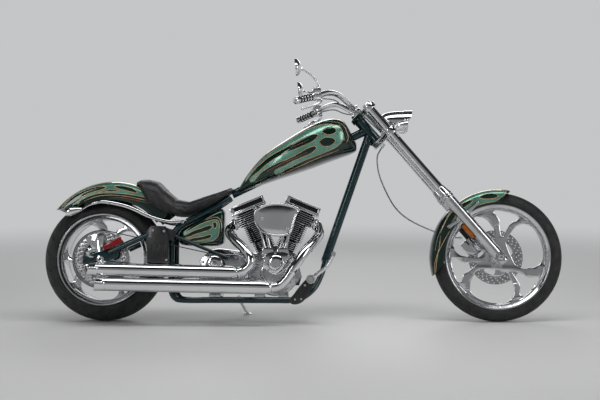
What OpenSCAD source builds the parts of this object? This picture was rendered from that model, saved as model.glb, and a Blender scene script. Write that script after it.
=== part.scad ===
// Long-fork V-twin chopper, leaning on its side stand.
// Every module is drawn with the machine upright: +X forward from the rear axle,
// +Y to the rider's left, +Z up from the ground. parked() then leans it on its stand.

/* [Chassis] */
// Distance between the wheel axles
wheelbase = 2085; // [1980:5:2200]
// Angle between the fork and the upright
rake = 41; // [39:0.5:43]
// Angle at which the machine leans on its side stand
lean = 6; // [5:0.5:8]
// Distance of the steering axis behind the fork legs
tree_offset = 75; // [65:1:85]
// Diameter of the backbone and downtube
main_tube_d = 46; // [38:1:50]
// Diameter of the two frame rails
rail_d = 32; // [26:1:34]

/* [Rear wheel] */
// Outer diameter of the rear tyre
rear_tyre_d = 648; // [630:1:656]
// Width of the rear tyre
rear_tyre_w = 250; // [220:1:252]
// Diameter over the flanges of the rear rim
rear_rim_d = 486; // [470:1:500]
// Diameter of the rear axle
rear_axle_d = 20; // [16:1:25]
// Outer diameter of the rear belt pulley
pulley_d = 296; // [270:1:300]

/* [Front wheel] */
// Outer diameter of the front tyre
front_tyre_d = 684; // [670:1:692]
// Width of the front tyre
front_tyre_w = 104; // [90:1:112]
// Diameter over the flanges of the front rim
front_rim_d = 562; // [540:1:575]
// Diameter of the front axle
front_axle_d = 20; // [16:1:25]
// Diameter of the front brake disc
front_disc_d = 292; // [260:1:300]

/* [Fork] */
// Distance between the centre lines of the fork legs
leg_spacing = 224; // [216:1:240]
// Diameter of the upper fork tubes
fork_tube_d = 44; // [38:1:49]
// Diameter of the lower sliders
slider_d = 60; // [54:1:64]
// Length of the fork legs above the axle
leg_length = 1068; // [1040:1:1090]
// Diameter of the steering stem
stem_d = 30; // [25:1:32]
// Width over the ends of the handlebar
bar_width = 830; // [780:5:880]

/* [Bodywork] */
// Width of the fuel tank
tank_w = 300; // [260:5:320]
// Width of the rear fender
rear_fender_w = 280; // [270:1:290]
// Width of the front fender
front_fender_w = 138; // [126:1:144]
// Thickness of the fender sheet
fender_sheet = 3; // [2.5:0.5:4]
// Width of the seat at its widest
seat_w = 310; // [292:2:320]

/* [Engine] */
// Angle of each cylinder from the upright
bank_angle = 22.5; // [22:0.5:26]
// Diameter of the cylinder fins
fin_d = 138; // [120:1:140]
// Diameter of the upper muffler
upper_muffler_d = 68; // [56:1:68]
// Diameter of the lower muffler
lower_muffler_d = 72; // [60:1:72]

/* [Hidden] */

$fn = 64;
// Radial clearance of a shaft in its bore
running_fit = 0.05;
// Gap between surfaces that pass close by each other
small_gap = 0.3;
// Facets round a swept tube
tube_sides = 16;
// Points on each curved stretch of a swept tube
tube_steps = 5;

rear_r = rear_tyre_d / 2;
front_r = front_tyre_d / 2;
// Radius of the rounded crown of each tyre, seen across it
rear_crown_r = 150;
front_crown_r = 56;
axle_rise = front_r - rear_r;
// Leaning drops the crowns a little, by a different amount on each wheel
rear_lift = rear_crown_r * (1 - cos(lean));
front_lift = front_crown_r * (1 - cos(lean));
pitch = atan((front_lift - rear_lift) / wheelbase);
// The origin is on the ground under the middle of the whole machine
middle_x = (wheelbase + front_r - rear_r) / 2;
middle_y = 133;

module parked()
  translate([-middle_x, -middle_y, rear_lift])
    rotate([-lean, -pitch, 0]) children();

// ---------- Shape helpers ----------

// Across the machine: a 2D shape in (x, z) made thick along y, from y = low to y = high
module across(low, high)
  translate([0, high, 0]) rotate([90, 0, 0]) linear_extrude(high - low) children();

// A round bar along y
module cross_bar(d, low, high)
  translate([0, high, 0]) rotate([90, 0, 0]) cylinder(d = d, h = high - low);

// A straight round bar from a to b
module bar(a, b, d) {
  v = b - a;
  translate(a) rotate([0, acos(v.z / norm(v)), atan2(v.y, v.x)]) cylinder(d = d, h = norm(v));
}

// A smooth curve through control points
function curve_at(a, b, c, d, t) =
  0.5 * (2 * b + (c - a) * t + (2 * a - 5 * b + 4 * c - d) * t * t
    + (3 * b - a - 3 * c + d) * t * t * t);
function curve(p, steps = tube_steps) = [
  for (i = [0 : len(p) - 2], s = [0 : steps - 1])
    curve_at(i > 0 ? p[i - 1] : 2 * p[0] - p[1], p[i], p[i + 1],
      i < len(p) - 2 ? p[i + 2] : 2 * p[len(p) - 1] - p[len(p) - 2], s / steps),
  p[len(p) - 1]];

function unit(v) = v / norm(v);
function tangent(p, i) =
  let (k = min(i, len(p) - 1)) unit(p[min(k + 1, len(p) - 1)] - p[max(k - 1, 0)]);
function square_to(n, t) = unit(n - (n * t) * t);
// Side directions carried along the path without twist
function sides_along(p, start) = [
  for (i = 0, n = square_to(start, tangent(p, 0)); i < len(p);
    i = i + 1, n = square_to(n, tangent(p, i))) n];

// A closed solid through rings of points, each ring the same length
module skin(rings) {
  n = len(rings[0]);
  last = (len(rings) - 1) * n;
  polyhedron(
    [for (ring = rings, p = ring) p],
    concat(
      [[for (j = [0 : n - 1]) j]],
      [for (i = [0 : len(rings) - 2], j = [0 : n - 1])
        [i * n + j, (i + 1) * n + j, (i + 1) * n + (j + 1) % n, i * n + (j + 1) % n]],
      [[for (j = [n - 1 : -1 : 0]) last + j]]));
}

// A round tube along a path; r is one radius, or one for each point
module tube(p, r, sides = tube_sides, start = [0.1, 1, 0.2]) {
  across_dir = sides_along(p, start);
  skin([for (i = [0 : len(p) - 1])
    let (t = tangent(p, i), n = across_dir[i], b = cross(t, n), ri = is_list(r) ? r[i] : r)
      [for (j = [0 : sides - 1])
        p[i] + ri * (cos(360 * j / sides) * n + sin(360 * j / sides) * b)]]);
}

// One upright cross-section of a loft along x: half width, bottom, top and squareness
function oval(x, w, low, high, square = 2, n = 32) = [
  for (j = [0 : n - 1])
    let (a = 360 * j / n, c = cos(a), s = sin(a))
      [x, w * sign(c) * pow(abs(c), 2 / square),
        (low + high) / 2 + (high - low) / 2 * sign(s) * pow(abs(s), 2 / square)]];

// Outline of two circles joined by their outer tangents
module strap_outline(a, ra, b, rb) {
  v = b - a;
  along = atan2(v.y, v.x);
  open = acos((ra - rb) / norm(v));
  translate(a) circle(ra);
  translate(b) circle(rb);
  polygon([
    a + ra * [cos(along + open), sin(along + open)],
    a + ra * [cos(along - open), sin(along - open)],
    b + rb * [cos(along - open), sin(along - open)],
    b + rb * [cos(along + open), sin(along + open)]]);
}

module both_sides() {
  children();
  mirror([0, 1, 0]) children();
}

// ---------- Where things are ----------

rear_axle_at = [0, 0, rear_r];
// Fork frame: origin at the front axle, +Z up the legs, +X square to them and forward
module on_fork() translate([wheelbase, 0, front_r]) rotate([0, -rake, 0]) children();
// The same place for a point
function fork_point(forward, side, up) = [
  wheelbase + forward * cos(rake) - up * sin(rake), side,
  front_r + forward * sin(rake) + up * cos(rake)];

leg_y = leg_spacing / 2;
// Height of the steering trees and of the neck, along the legs
lower_tree_s = 856;
upper_tree_s = 1028;
lower_tree_t = 34;
upper_tree_t = 28;
neck_low_s = lower_tree_s + lower_tree_t + small_gap;
neck_high_s = upper_tree_s - small_gap;
neck_d = 62;

neck_s = (neck_low_s + neck_high_s) / 2;
backbone_end = [672, 0, 674];
backbone_start = fork_point(-tree_offset, 0, neck_s + 6);
downtube_start = fork_point(-tree_offset, 0, neck_low_s + 54);
downtube_end = [1172, 0, 326];
upright_x = 362;
rail_y = 118;
rail_z = 112;
rail_path = [[1172, rail_d / 2 + 1, 322], [1150, 40, 250], [1112, 78, 176], [1050, 106, 126],
  [985, rail_y, rail_z], [900, rail_y, rail_z], [600, rail_y, rail_z], [430, rail_y, rail_z],
  [382, rail_y, 124], [upright_x, rail_y, 166], [upright_x, rail_y, 250],
  [upright_x, rail_y, 400], [374, rail_y, 462], [420, 112, 512], [520, 84, 566],
  [600, 56, 613], [664, 30, 654]];

pivot_at = [406, 0, 270];
pivot_d = 36;
arm_y = 182;
arm_d = 30;
housing_low_y = 168;
housing_high_y = 194;

crank_at = [905, 0, 256];
case_half_w = 78;
// Distances out along each cylinder from the crankshaft
deck_out = 134;
fins_out = 192;
head_out = 292;
head_top_out = 358;
rocker_top_out = 402;
head_len = 158;
rocker_len = 196;
barrel_d = 96;
gearbox_y = 112;
belt_w = 24;
belt_mid_y = -150;
belt_t = 5;
drive_at = [590, 0, 300];
drive_pulley_d = 94;

// ---------- Frame ----------

module neck_bore(extra = 0)
  on_fork() translate([-tree_offset, 0, neck_low_s - 1])
    cylinder(d = stem_d + 2 * running_fit + extra, h = neck_high_s - neck_low_s + 2);

module frame_backbone() color("darkslategray") parked() difference() {
  union() {
    on_fork() translate([-tree_offset, 0, neck_low_s])
      cylinder(d = neck_d, h = neck_high_s - neck_low_s);
    bar(backbone_end, backbone_start, main_tube_d);
  }
  neck_bore();
}

module frame_downtube() color("darkslategray") parked() difference() {
  bar(downtube_end, downtube_start, main_tube_d);
  on_fork() translate([-tree_offset, 0, neck_low_s - 60]) cylinder(d = neck_d, h = 320);
  bar(backbone_end, backbone_start, main_tube_d);
}

module frame_rail() difference() {
  union() {
    tube(curve(rail_path, 3), rail_d / 2);
    translate([pivot_at.x, 0, pivot_at.z]) cross_bar(60, rail_y - 13, rail_y + 13);
  }
  translate([pivot_at.x, 0, pivot_at.z])
    cross_bar(pivot_d + 2 * running_fit, rail_y - 40, rail_y + 40);
  bar(backbone_end, backbone_start, main_tube_d);
  bar(downtube_end, downtube_start, main_tube_d);
}

module left_frame_rail() color("darkslategray") parked() {
  frame_rail();
  stand_lug();
}

module right_frame_rail() color("darkslategray") parked() mirror([0, 1, 0]) {
  frame_rail();
  bar([upright_x + 4, rail_y, 452], [660, gearbox_y + 9.5, 330], 18);
}

housing_outline = [[242, 304], [356, 304], [356, 420], [338, 496], [262, 500], [236, 470]];
// Black blocks at the back of the frame, bridged in to the uprights above the belt
module swingarm_housings() color([0.05, 0.05, 0.06]) parked() both_sides() difference() {
  union() {
    across(housing_low_y, housing_high_y) polygon(housing_outline);
    across(rail_y, housing_low_y)
      polygon([[318, 432], [378, 420], [378, 476], [330, 494]]);
  }
  tube(curve(rail_path, 3), rail_d / 2 + small_gap);
}

module swingarm_side() difference() {
  union() {
    across(arm_y - 8, arm_y + 8) strap_outline([-62, rear_r - 4], 26, [62, rear_r + 30], 30);
    tube([[40, arm_y, rear_r + 34], [248, arm_y, 454]], arm_d / 2);
    tube([[30, arm_y, rear_r - 22], [pivot_at.x, arm_y, pivot_at.z]], arm_d / 2);
    translate([pivot_at.x, 0, pivot_at.z]) cross_bar(pivot_d + 14, arm_y - 14, arm_y + 14);
  }
  translate(rear_axle_at) cross_bar(rear_axle_d + 2 * running_fit, 0, 300);
  across(arm_y - 20, arm_y + 20) polygon([for (p = housing_outline) p - [small_gap, 0]]);
}

module swingarm() color("darkslategray") parked() {
  both_sides() swingarm_side();
  translate([pivot_at.x, 0, pivot_at.z]) cross_bar(pivot_d, -arm_y, arm_y);
}

module rear_axle() color("silver") parked() translate(rear_axle_at) difference() {
  union() {
    cross_bar(rear_axle_d, -arm_y - 22, arm_y + 22);
    both_sides() cross_bar(38, arm_y + 8 + small_gap, arm_y + 22);
    cross_bar(40, hub_half + 1, arm_y - 8 - small_gap);
    cross_bar(40, caliper_out_y + caliper_plate_t + small_gap, belt_mid_y - belt_w / 2 - 1);
    cross_bar(40, -arm_y + 8 + small_gap, caliper_out_y - small_gap);
  }
  cross_bar(axle_bore_d, -300, 300);
}

// ---------- Engine and drive ----------

// Along a cylinder: +Z out from the crankshaft
module on_bank(side) translate(crank_at) rotate([0, side * bank_angle, 0]) children();

// Foot that sits across both frame rails
module mounting_foot(x, length, top) {
  foot_low = rail_z + rail_d / 2 + small_gap;
  translate([x, -rail_y, foot_low]) cube([length, 2 * rail_y, 16]);
  translate([x, -case_half_w + 10, foot_low]) cube([length, 2 * case_half_w - 20, top - foot_low]);
}

module deck_cut() for (side = [-1, 1]) on_bank(side)
  translate([-100, -100, deck_out]) cube([200, 200, 200]);

module crankcase() color("silver") parked() difference() {
  union() {
    translate(crank_at) cross_bar(244, -case_half_w, case_half_w);
    across(-case_half_w, case_half_w)
      polygon([[766, 190], [1030, 190], [1046, 240], [1010, 372], [960, 398], [850, 398],
        [790, 340], [766, 330]]);
    for (x = [800, 924]) mounting_foot(x, 50, 200);
  }
  deck_cut();
}

module cam_cover() color("silver") parked() {
  across(-case_half_w - 38, -case_half_w)
    polygon([[846, 344], [834, 300], [868, 262], [905, 244], [950, 262], [1000, 318],
      [986, 352], [905, 366]]);
  for (x = [868, 946]) translate([x, 0, 350])
    across(-case_half_w - 24, -case_half_w)
      polygon([[-34, 0], [34, 0], [26, lifter_top - 350], [-26, lifter_top - 350]]);
}

module primary_cover() color("silver") parked()
  across(case_half_w, case_half_w + 62)
    strap_outline([crank_at.x, crank_at.z], 92, [600, 276], 112);

module gearbox() color("silver") parked() {
  across(-gearbox_y, case_half_w)
    polygon([[508, 208], [765.7, 208], [765.7, 330], [700, 352], [540, 352], [508, 320]]);
  mounting_foot(560, 60, 220);
  translate([drive_at.x, 0, drive_at.z]) {
    cross_bar(34, belt_mid_y - belt_w / 2 - 6, -gearbox_y);
    cross_bar(drive_pulley_d, belt_mid_y - belt_w / 2, belt_mid_y + belt_w / 2);
  }
}

head_half_w = 64;
module head_block(side) on_bank(side) translate([-head_len / 2, -head_half_w, head_out])
  cube([head_len, 2 * head_half_w, head_top_out - head_out]);

module cylinder_and_head(side) color("dimgray") parked() {
  on_bank(side) {
    translate([0, 0, deck_out]) cylinder(d = barrel_d, h = fins_out - deck_out);
    translate([0, 0, fins_out]) cylinder(d = fin_d, h = head_out - fins_out);
  }
  head_block(side);
}

module front_cylinder() cylinder_and_head(1);
module rear_cylinder() cylinder_and_head(-1);

module rocker_boxes() color("silver") parked() for (side = [-1, 1]) on_bank(side)
  translate([-rocker_len / 2, -100, head_top_out])
    cube([rocker_len, 180, rocker_top_out - head_top_out]);

pushrod_y = -90;
lifter_top = 386;
module pushrod_tubes() color("silver") parked()
  for (side = [-1, 1], k = [0, 1]) difference() {
    bar([crank_at.x + side * (26 + 26 * k), pushrod_y, lifter_top - 10],
      crank_at + [side * (86 + 34 * k), pushrod_y, 390], 21);
    on_bank(side) translate([-200, -200, head_top_out]) cube([400, 400, 100]);
    translate([crank_at.x - 200, -200, lifter_top - 100]) cube([400, 400, 100]);
  }

intake_z = 588;
module carburettor() color("silver") parked() difference() {
  union() {
    translate([crank_at.x, 0, intake_z]) cross_bar(60, -104, 34);
    bar([crank_at.x - 80, 0, intake_z], [crank_at.x + 80, 0, intake_z], 44);
  }
  for (side = [-1, 1]) head_block(side);
}

module air_cleaner() color("silver") parked()
  translate([912, 0, 0]) {
    across(-132, -104) polygon([for (a = [0 : 30 : 330]) [88 * cos(a), 530 + 70 * sin(a)]]);
    across(-176, -132) polygon([[-110, 590], [-60, 612], [0, 618], [62, 610], [124, 588],
      [112, 520], [78, 462], [20, 446], [-44, 450], [-92, 476], [-118, 520]]);
  }

// ---------- Exhausts ----------

exhaust_y = -240;
upper_muffler_z = 264;
lower_muffler_z = 188;
// Each muffler rises this much from its middle to its mouth
muffler_rise = 9;
module muffler(back, front, z_back, z_front, d) difference() {
  bar([back, exhaust_y, z_back], [front, exhaust_y, z_front], d);
  bar([back - 1, exhaust_y, z_back], [back + 120, exhaust_y, z_back], d - 14);
}

// The exhaust ports face away from each other, low on the heads
port_out = 318;
header_d = 50;
function port_point(side, off, y) = crank_at
  + port_out * [side * sin(bank_angle), 0, cos(bank_angle)]
  + (head_len / 2 + off) * [side * cos(bank_angle), 0, -sin(bank_angle)] + [0, y, 0];

module rear_exhaust() color("silver") parked() {
  muffler(-60, 716, upper_muffler_z + muffler_rise, upper_muffler_z - muffler_rise,
    upper_muffler_d);
  difference() {
    tube(curve([[716, exhaust_y, upper_muffler_z - muffler_rise], [752, exhaust_y, 267], [780, exhaust_y, 298],
      [778, exhaust_y + 8, 338], [742, -202, 384], [690, -156, 432], [664, -96, 474],
      port_point(-1, 30, -38), port_point(-1, -4, -30)], 4), header_d / 2);
    head_block(-1);
  }
}

module front_exhaust() color("silver") parked() {
  muffler(-24, 892, lower_muffler_z + muffler_rise, lower_muffler_z - muffler_rise,
    lower_muffler_d);
  difference() {
    tube(curve([[892, exhaust_y, lower_muffler_z - muffler_rise], [930, exhaust_y, 187], [968, exhaust_y, 222],
      [1020, exhaust_y + 8, 300], [1066, -206, 366], [1108, -158, 414], [1138, -98, 458],
      port_point(1, 32, -40), port_point(1, -4, -30)], 4), header_d / 2);
    head_block(1);
  }
}

// ---------- Bodywork ----------

module oil_tank() color("darkgreen") parked() difference() {
  skin([
    oval(394, 90, 420, 470, 4), oval(406, 104, 400, 486, 5), oval(440, 108, 396, 506, 5),
    oval(520, 108, 394, 548, 5), oval(590, 104, 396, 588, 5), oval(624, 98, 400, 600, 5),
    oval(640, 86, 412, 590, 4)]);
  both_sides() tube(curve(rail_path, 3), rail_d / 2 + small_gap);
}

// Stations of the tank: place along x, share of the full half width, bottom and top
tank_stations = [[704, 0.18, 684, 701], [716, 0.26, 682, 722], [740, 0.37, 690, 764],
  [770, 0.48, 702, 806], [812, 0.62, 718, 858], [870, 0.78, 738, 912], [940, 0.91, 762, 956],
  [1020, 0.98, 788, 1008], [1100, 1, 814, 1052], [1160, 1, 838, 1076], [1210, 0.95, 856, 1084],
  [1250, 0.86, 870, 1081], [1276, 0.76, 879, 1064], [1300, 0.62, 888, 1024],
  [1322, 0.46, 898, 980], [1340, 0.24, 908, 946]];

module fuel_tank() color("darkgreen") parked() difference() {
  skin([for (s = tank_stations) oval(s[0], tank_w / 2 * s[1], s[2], s[3], 2.5)]);
  tank_tunnel();
  translate([cap_x, 0, cap_z]) rotate([0, cap_tilt, 0]) cylinder(d = cap_d + 1, h = 60);
}

tunnel_d = main_tube_d + 2 * small_gap;
module tank_tunnel() {
  bar(backbone_end, backbone_start, tunnel_d);
  v = backbone_start - backbone_end;
  translate(backbone_end) rotate([0, -atan2(v.z, v.x), 0])
    translate([0, -tunnel_d / 2, -200]) cube([norm(v) + 20, tunnel_d, 200]);
}

cap_x = 1106;
cap_z = 1048;
cap_tilt = -24;
cap_d = 62;
module fuel_cap() color("silver") parked()
  translate([cap_x, 0, cap_z + small_gap]) rotate([0, cap_tilt, 0]) {
    cylinder(d = cap_d, h = 14);
    translate([0, 0, 14]) cylinder(d1 = cap_d - 6, d2 = cap_d - 22, h = 6);
  }

// Stations of the seat: x, share of the half width, bottom and top
seat_stations = [[162, 0.5, 716, 736], [196, 0.93, 662, 746], [236, 0.97, 600, 748],
  [286, 1, 574, 735], [330, 1, 562, 688], [384, 1, 558, 642], [452, 0.96, 562, 628],
  [536, 0.86, 596, 658], [610, 0.62, 642, 682], [668, 0.38, 684, 706], [694, 0.22, 698, 708]];
// Squareness of its section: round on top, with flanks hanging over the fender's sides
seat_top_square = 2.8;
seat_flank_square = 4.5;
function seat_ring(s) =
  let (top = oval(s[0], seat_w / 2 * s[1], s[2], s[3], seat_top_square),
    flank = oval(s[0], seat_w / 2 * s[1], s[2], s[3], seat_flank_square))
  [for (j = [0 : len(top) - 1]) j <= len(top) / 2 ? top[j] : flank[j]];
module seat() color([0.1, 0.1, 0.11]) parked() difference() {
  skin([for (s = seat_stations) seat_ring(s)]);
  both_sides() tube(curve(rail_path, 3), rail_d / 2 + small_gap);
  bar(backbone_end, backbone_start, main_tube_d + 1);
  rear_fender_block(small_gap);
}

rear_fender_at = [52, 0, 348];
rear_fender_r = 396;
rear_fender_arc = [36, 142];
// Section of the rear fender, across the machine: [distance from the middle, radius]
function fender_section(half_w, r, drop, depth) = [
  [0, r], [half_w * 0.5, r - drop * 0.16], [half_w * 0.8, r - drop * 0.52],
  [half_w * 0.94, r - drop * 0.86], [half_w, r - drop * 1.3], [half_w, r - depth]];
function mirrored(p) = concat(p, [for (i = [len(p) - 1 : -1 : 1]) [-p[i].x, p[i].y]]);

// A curved fender: section spun about an axle from one angle to another
module fender(outer, inner, arc) rotate([90, 0, 0]) rotate([0, 0, arc[0]])
  rotate_extrude(angle = arc[1] - arc[0]) difference() {
    polygon([for (p = mirrored(outer)) [p.y, p.x]]);
    polygon([for (p = mirrored(inner)) [p.y, p.x]]);
  }

rear_skirt_depth = 110;
module rear_fender() color("darkgreen") parked() translate(rear_fender_at) difference() {
  fender(fender_section(rear_fender_w / 2, rear_fender_r, 26, rear_skirt_depth),
    fender_section(rear_fender_w / 2 - fender_sheet, rear_fender_r - fender_sheet, 26,
      rear_skirt_depth + 10), rear_fender_arc);
  // the skirt sweeps up to the tail
  across(-200, 200) polygon([[-430, 208], [-149, 272], [-149, -100], [-430, -100]]);
}

// The fender's outside as one solid, for the seat to sit on
module rear_fender_block(gap) translate(rear_fender_at)
  rotate([90, 0, 0]) rotate_extrude()
    polygon([for (p = mirrored(fender_section(rear_fender_w / 2 + gap,
      rear_fender_r + gap, 26, rear_skirt_depth))) [p.y, p.x]]);

strut_d = 11;
strut_y = rear_fender_w / 2 + strut_d / 2 + small_gap;
signal_tip = [-104, strut_y + 10, 588];
module fender_struts() color("silver") parked() both_sides()
  tube(curve([signal_tip, [-60, strut_y + 2, 612], [10, strut_y, 622], [128, strut_y, 596],
    [232, strut_y, 548], [292, strut_y, 525], [348, strut_y - 2, 514],
    [400, strut_y - 10, 517], [438, rail_y - 5 + rail_d / 2, 528]], 4), strut_d / 2);

module rear_turn_signals() color("silver") parked() both_sides()
  translate(signal_tip - [1.6, 0, 0.4]) rotate([0, -102, 0]) {
    cylinder(d1 = 13, d2 = 50, h = 58);
    translate([0, 0, 58]) cylinder(d = 50, h = 30);
  }

module drive_belt() color([0.08, 0.08, 0.08]) parked()
  across(belt_mid_y - belt_w / 2, belt_mid_y + belt_w / 2) difference() {
    strap_outline([0, rear_r], pulley_d / 2 + small_gap + belt_t,
      [drive_at.x, drive_at.z], drive_pulley_d / 2 + small_gap + belt_t);
    strap_outline([0, rear_r], pulley_d / 2 + small_gap,
      [drive_at.x, drive_at.z], drive_pulley_d / 2 + small_gap);
  }

// A flat piece of a ring in (x, z) round a centre
function ring_piece(at, r0, r1, a0, a1, n = 6) = concat(
  [for (i = [0 : n]) let (a = a0 + (a1 - a0) * i / n) at + r1 * [cos(a), sin(a)]],
  [for (i = [n : -1 : 0]) let (a = a0 + (a1 - a0) * i / n) at + r0 * [cos(a), sin(a)]]);

rotor_y = -150;
rotor_t = 5;
rotor_inner_r = 100;
caliper_out_y = -171;
caliper_in_y = -125;
caliper_plate_t = 6;
module rear_caliper() color("silver") parked() difference() {
  union() {
    across(caliper_out_y, caliper_in_y)
      polygon(ring_piece([0, rear_r], 64, pulley_d / 2 - 13, 84, 128));
    across(caliper_out_y, caliper_out_y + caliper_plate_t)
      polygon(ring_piece([0, rear_r], 8, 70, 92, 120));
    translate(rear_axle_at) cross_bar(46, caliper_out_y, caliper_out_y + caliper_plate_t);
  }
  translate(rear_axle_at) difference() {
    cross_bar(pulley_d + 40, rotor_y - rotor_t / 2 - 2.5, rotor_y + rotor_t / 2 + 2.5);
    cross_bar(2 * rotor_inner_r - 8, -200, 0);
  }
  translate(rear_axle_at) cross_bar(rear_axle_d + 2 * running_fit, -300, 0);
}

// ---------- Foot controls and stand ----------

foot_plate_t = 12;
module foot_control() {
  plate_y = rail_y + rail_d / 2 + small_gap;
  across(plate_y, plate_y + foot_plate_t)
    polygon([[985, 100], [1046, 100], [1098, 170], [1112, 220], [1094, 240], [1062, 214],
      [1010, 150]]);
  translate([1094, 0, 222]) {
    cross_bar(34, plate_y + foot_plate_t, rail_y + 66);
    cross_bar(26, rail_y + 66, rail_y + 176);
  }
  tube(curve([[1094, rail_y + 56, 222], [1130, rail_y + 76, 250], [1180, rail_y + 92, 290],
    [1212, rail_y + 98, 346]], 4), 9);
  translate([1212, 0, 352]) cross_bar(24, rail_y + 92, rail_y + 160);
}

module right_foot_control() color("silver") parked() mirror([0, 1, 0]) foot_control();
module left_foot_control() color("silver") parked() foot_control();

// Height of the floor under a point of the upright machine
function floor_z(x, y) = (y * sin(lean) - rear_lift - x * sin(pitch)) / cos(lean);
stand_pivot = [700, 162, 116];
stand_foot = [742, 284, floor_z(742, 284)];
stand_leg_d = 15;
stand_eye_d = 34;
stand_eye_t = 16;
stand_pin_d = 12;
stand_pad_d = 46;
stand_pad_t = 8;
// Where the leg points when it is folded up along the frame
stand_folded = [-1, 0.1, 0.02];
stand_axis = unit(cross(stand_foot - stand_pivot, stand_folded));

module on_stand_pivot() translate(stand_pivot)
  rotate([0, acos(stand_axis.z), atan2(stand_axis.y, stand_axis.x)]) children();

module side_stand() color("silver") parked() difference() {
  union() {
    on_stand_pivot() translate([0, 0, -stand_eye_t / 2])
      cylinder(d = stand_eye_d, h = stand_eye_t);
    bar(stand_pivot, stand_foot + [0, 0, stand_pad_t], stand_leg_d);
    translate(stand_foot) rotate([lean, pitch, 0]) cylinder(d = stand_pad_d, h = stand_pad_t);
  }
  on_stand_pivot() translate([0, 0, -40]) cylinder(d = stand_pin_d + 2 * running_fit, h = 80);
  translate(stand_foot) rotate([lean, pitch, 0]) translate([-100, -100, -50])
    cube([200, 200, 50]);
}

// Lug, pin and head that carry the stand, welded to the left rail
module stand_lug() {
  on_stand_pivot() {
    translate([0, 0, -stand_eye_t / 2 - 12.5]) cylinder(d = 28, h = 12);
    translate([0, 0, -stand_eye_t / 2 - 6]) cylinder(d = stand_pin_d, h = stand_eye_t + 12);
    translate([0, 0, stand_eye_t / 2 + 0.5]) cylinder(d = 20, h = 6);
  }
  bar([stand_pivot.x - 2, rail_y, rail_z - 2],
    stand_pivot - (stand_eye_t / 2 + 9) * stand_axis, 16);
}

// ---------- Fork and bars ----------

clamp_r = 36;
// Place of the headlamp's post, square to the legs
lamp_lug = -26;
module tree_outline() both_sides()
  strap_outline([0, leg_y], clamp_r, [-tree_offset, 0], clamp_r + 2);

module fork_bores() both_sides() translate([0, leg_y, 0])
  cylinder(d = fork_tube_d + 2 * running_fit, h = leg_length + 100);

module steering_trees() color("silver") parked() on_fork() difference() {
  union() {
    translate([0, 0, lower_tree_s]) linear_extrude(lower_tree_t) tree_outline();
    translate([lamp_lug, 0, lower_tree_s]) cylinder(r = 16, h = lower_tree_t);
    translate([0, 0, upper_tree_s]) linear_extrude(upper_tree_t) tree_outline();
    translate([-tree_offset, 0, lower_tree_s])
      cylinder(d = stem_d, h = upper_tree_s + upper_tree_t - lower_tree_s);
  }
  fork_bores();
}

slider_low = -40;
slider_high = 423;
axle_boss_y = 28;
module fork_leg() difference() {
  translate([0, leg_y, 0]) {
    translate([0, 0, slider_low]) cylinder(d = slider_d, h = slider_high - slider_low);
    translate([0, 0, slider_high - 14]) cylinder(d = slider_d + 6, h = 20);
    cylinder(d = fork_tube_d, h = leg_length);
    translate([0, 0, upper_tree_s + upper_tree_t + small_gap]) cylinder(d = fork_tube_d + 6, h = 14);
    cross_bar(52, -slider_d / 2, slider_d / 2);
  }
  cross_bar(front_axle_d + 2 * running_fit, 0, 300);
}
module right_fork_leg() color("silver") parked() on_fork() mirror([0, 1, 0]) fork_leg();
module left_fork_leg() color("silver") parked() on_fork() {
  fork_leg();
  for (s = [86, 148]) translate([-44, caliper_high_y + small_gap, s])
    cube([40, leg_y - caliper_high_y, 14]);
}

bar_d = 30;
bar_centre = fork_point(-58, 0, 1084);
bar_end = bar_centre + [-318, bar_width / 2, 0];
bar_elbow = bar_centre + [-206, bar_width / 2 - 88, 38];
grip_start = bar_elbow + 0.14 * (bar_end - bar_elbow);
bar_half = concat(curve([bar_centre + [0, 40, 0], bar_centre + [-24, 100, 16],
  bar_centre + [-90, bar_width / 2 - 227, 60], bar_centre + [-146, bar_width / 2 - 148, 62],
  bar_elbow], 4), [grip_start]);
riser_y = 50;
module handlebar() color("silver") parked() {
  tube(concat([for (i = [len(bar_half) - 1 : -1 : 0]) [bar_half[i].x, -bar_half[i].y,
    bar_half[i].z]], bar_half), bar_d / 2, start = [1, 0, 0]);
  both_sides() on_fork() translate([-58, riser_y - 12, upper_tree_s + upper_tree_t])
    translate([-22, 0, 0]) cube([44, 30, 48]);
}

function lerp(a, b, t) = a + (b - a) * t;
module hand_controls() color("silver") parked() both_sides() difference() {
  union() {
    bar(grip_start + 0.3 * unit(bar_end - bar_elbow), bar_end, 37);
    bar(lerp(bar_elbow, bar_half[len(bar_half) - 4], 0.9), bar_elbow, 44);
    tube(curve([bar_elbow + [24, -10, -18], bar_elbow + [20, 20, -34],
      bar_elbow + [-16, 50, -56], bar_elbow + [-72, 92, -78]], 4), 6);
    translate(bar_elbow + [14, -16, -18]) sphere(15);
  }
  tube(bar_half, bar_d / 2 + running_fit, start = [1, 0, 0]);
}

mirror_at = bar_centre + [-300, bar_width / 2 - 20, 174];
module mirrors() color("silver") parked() both_sides() {
  tube(curve([bar_elbow + [13, -25, 32], bar_elbow + [4, -16, 62], bar_elbow + [-30, 16, 104],
    mirror_at + [16, 0, -6]], 4), 5);
  translate(mirror_at) rotate([0, 84, 0]) {
    translate([0, 0, -14]) cylinder(d1 = 92, d2 = 96, h = 8);
    translate([0, 0, -6]) cylinder(d1 = 96, d2 = 40, h = 24);
  }
}

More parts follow.
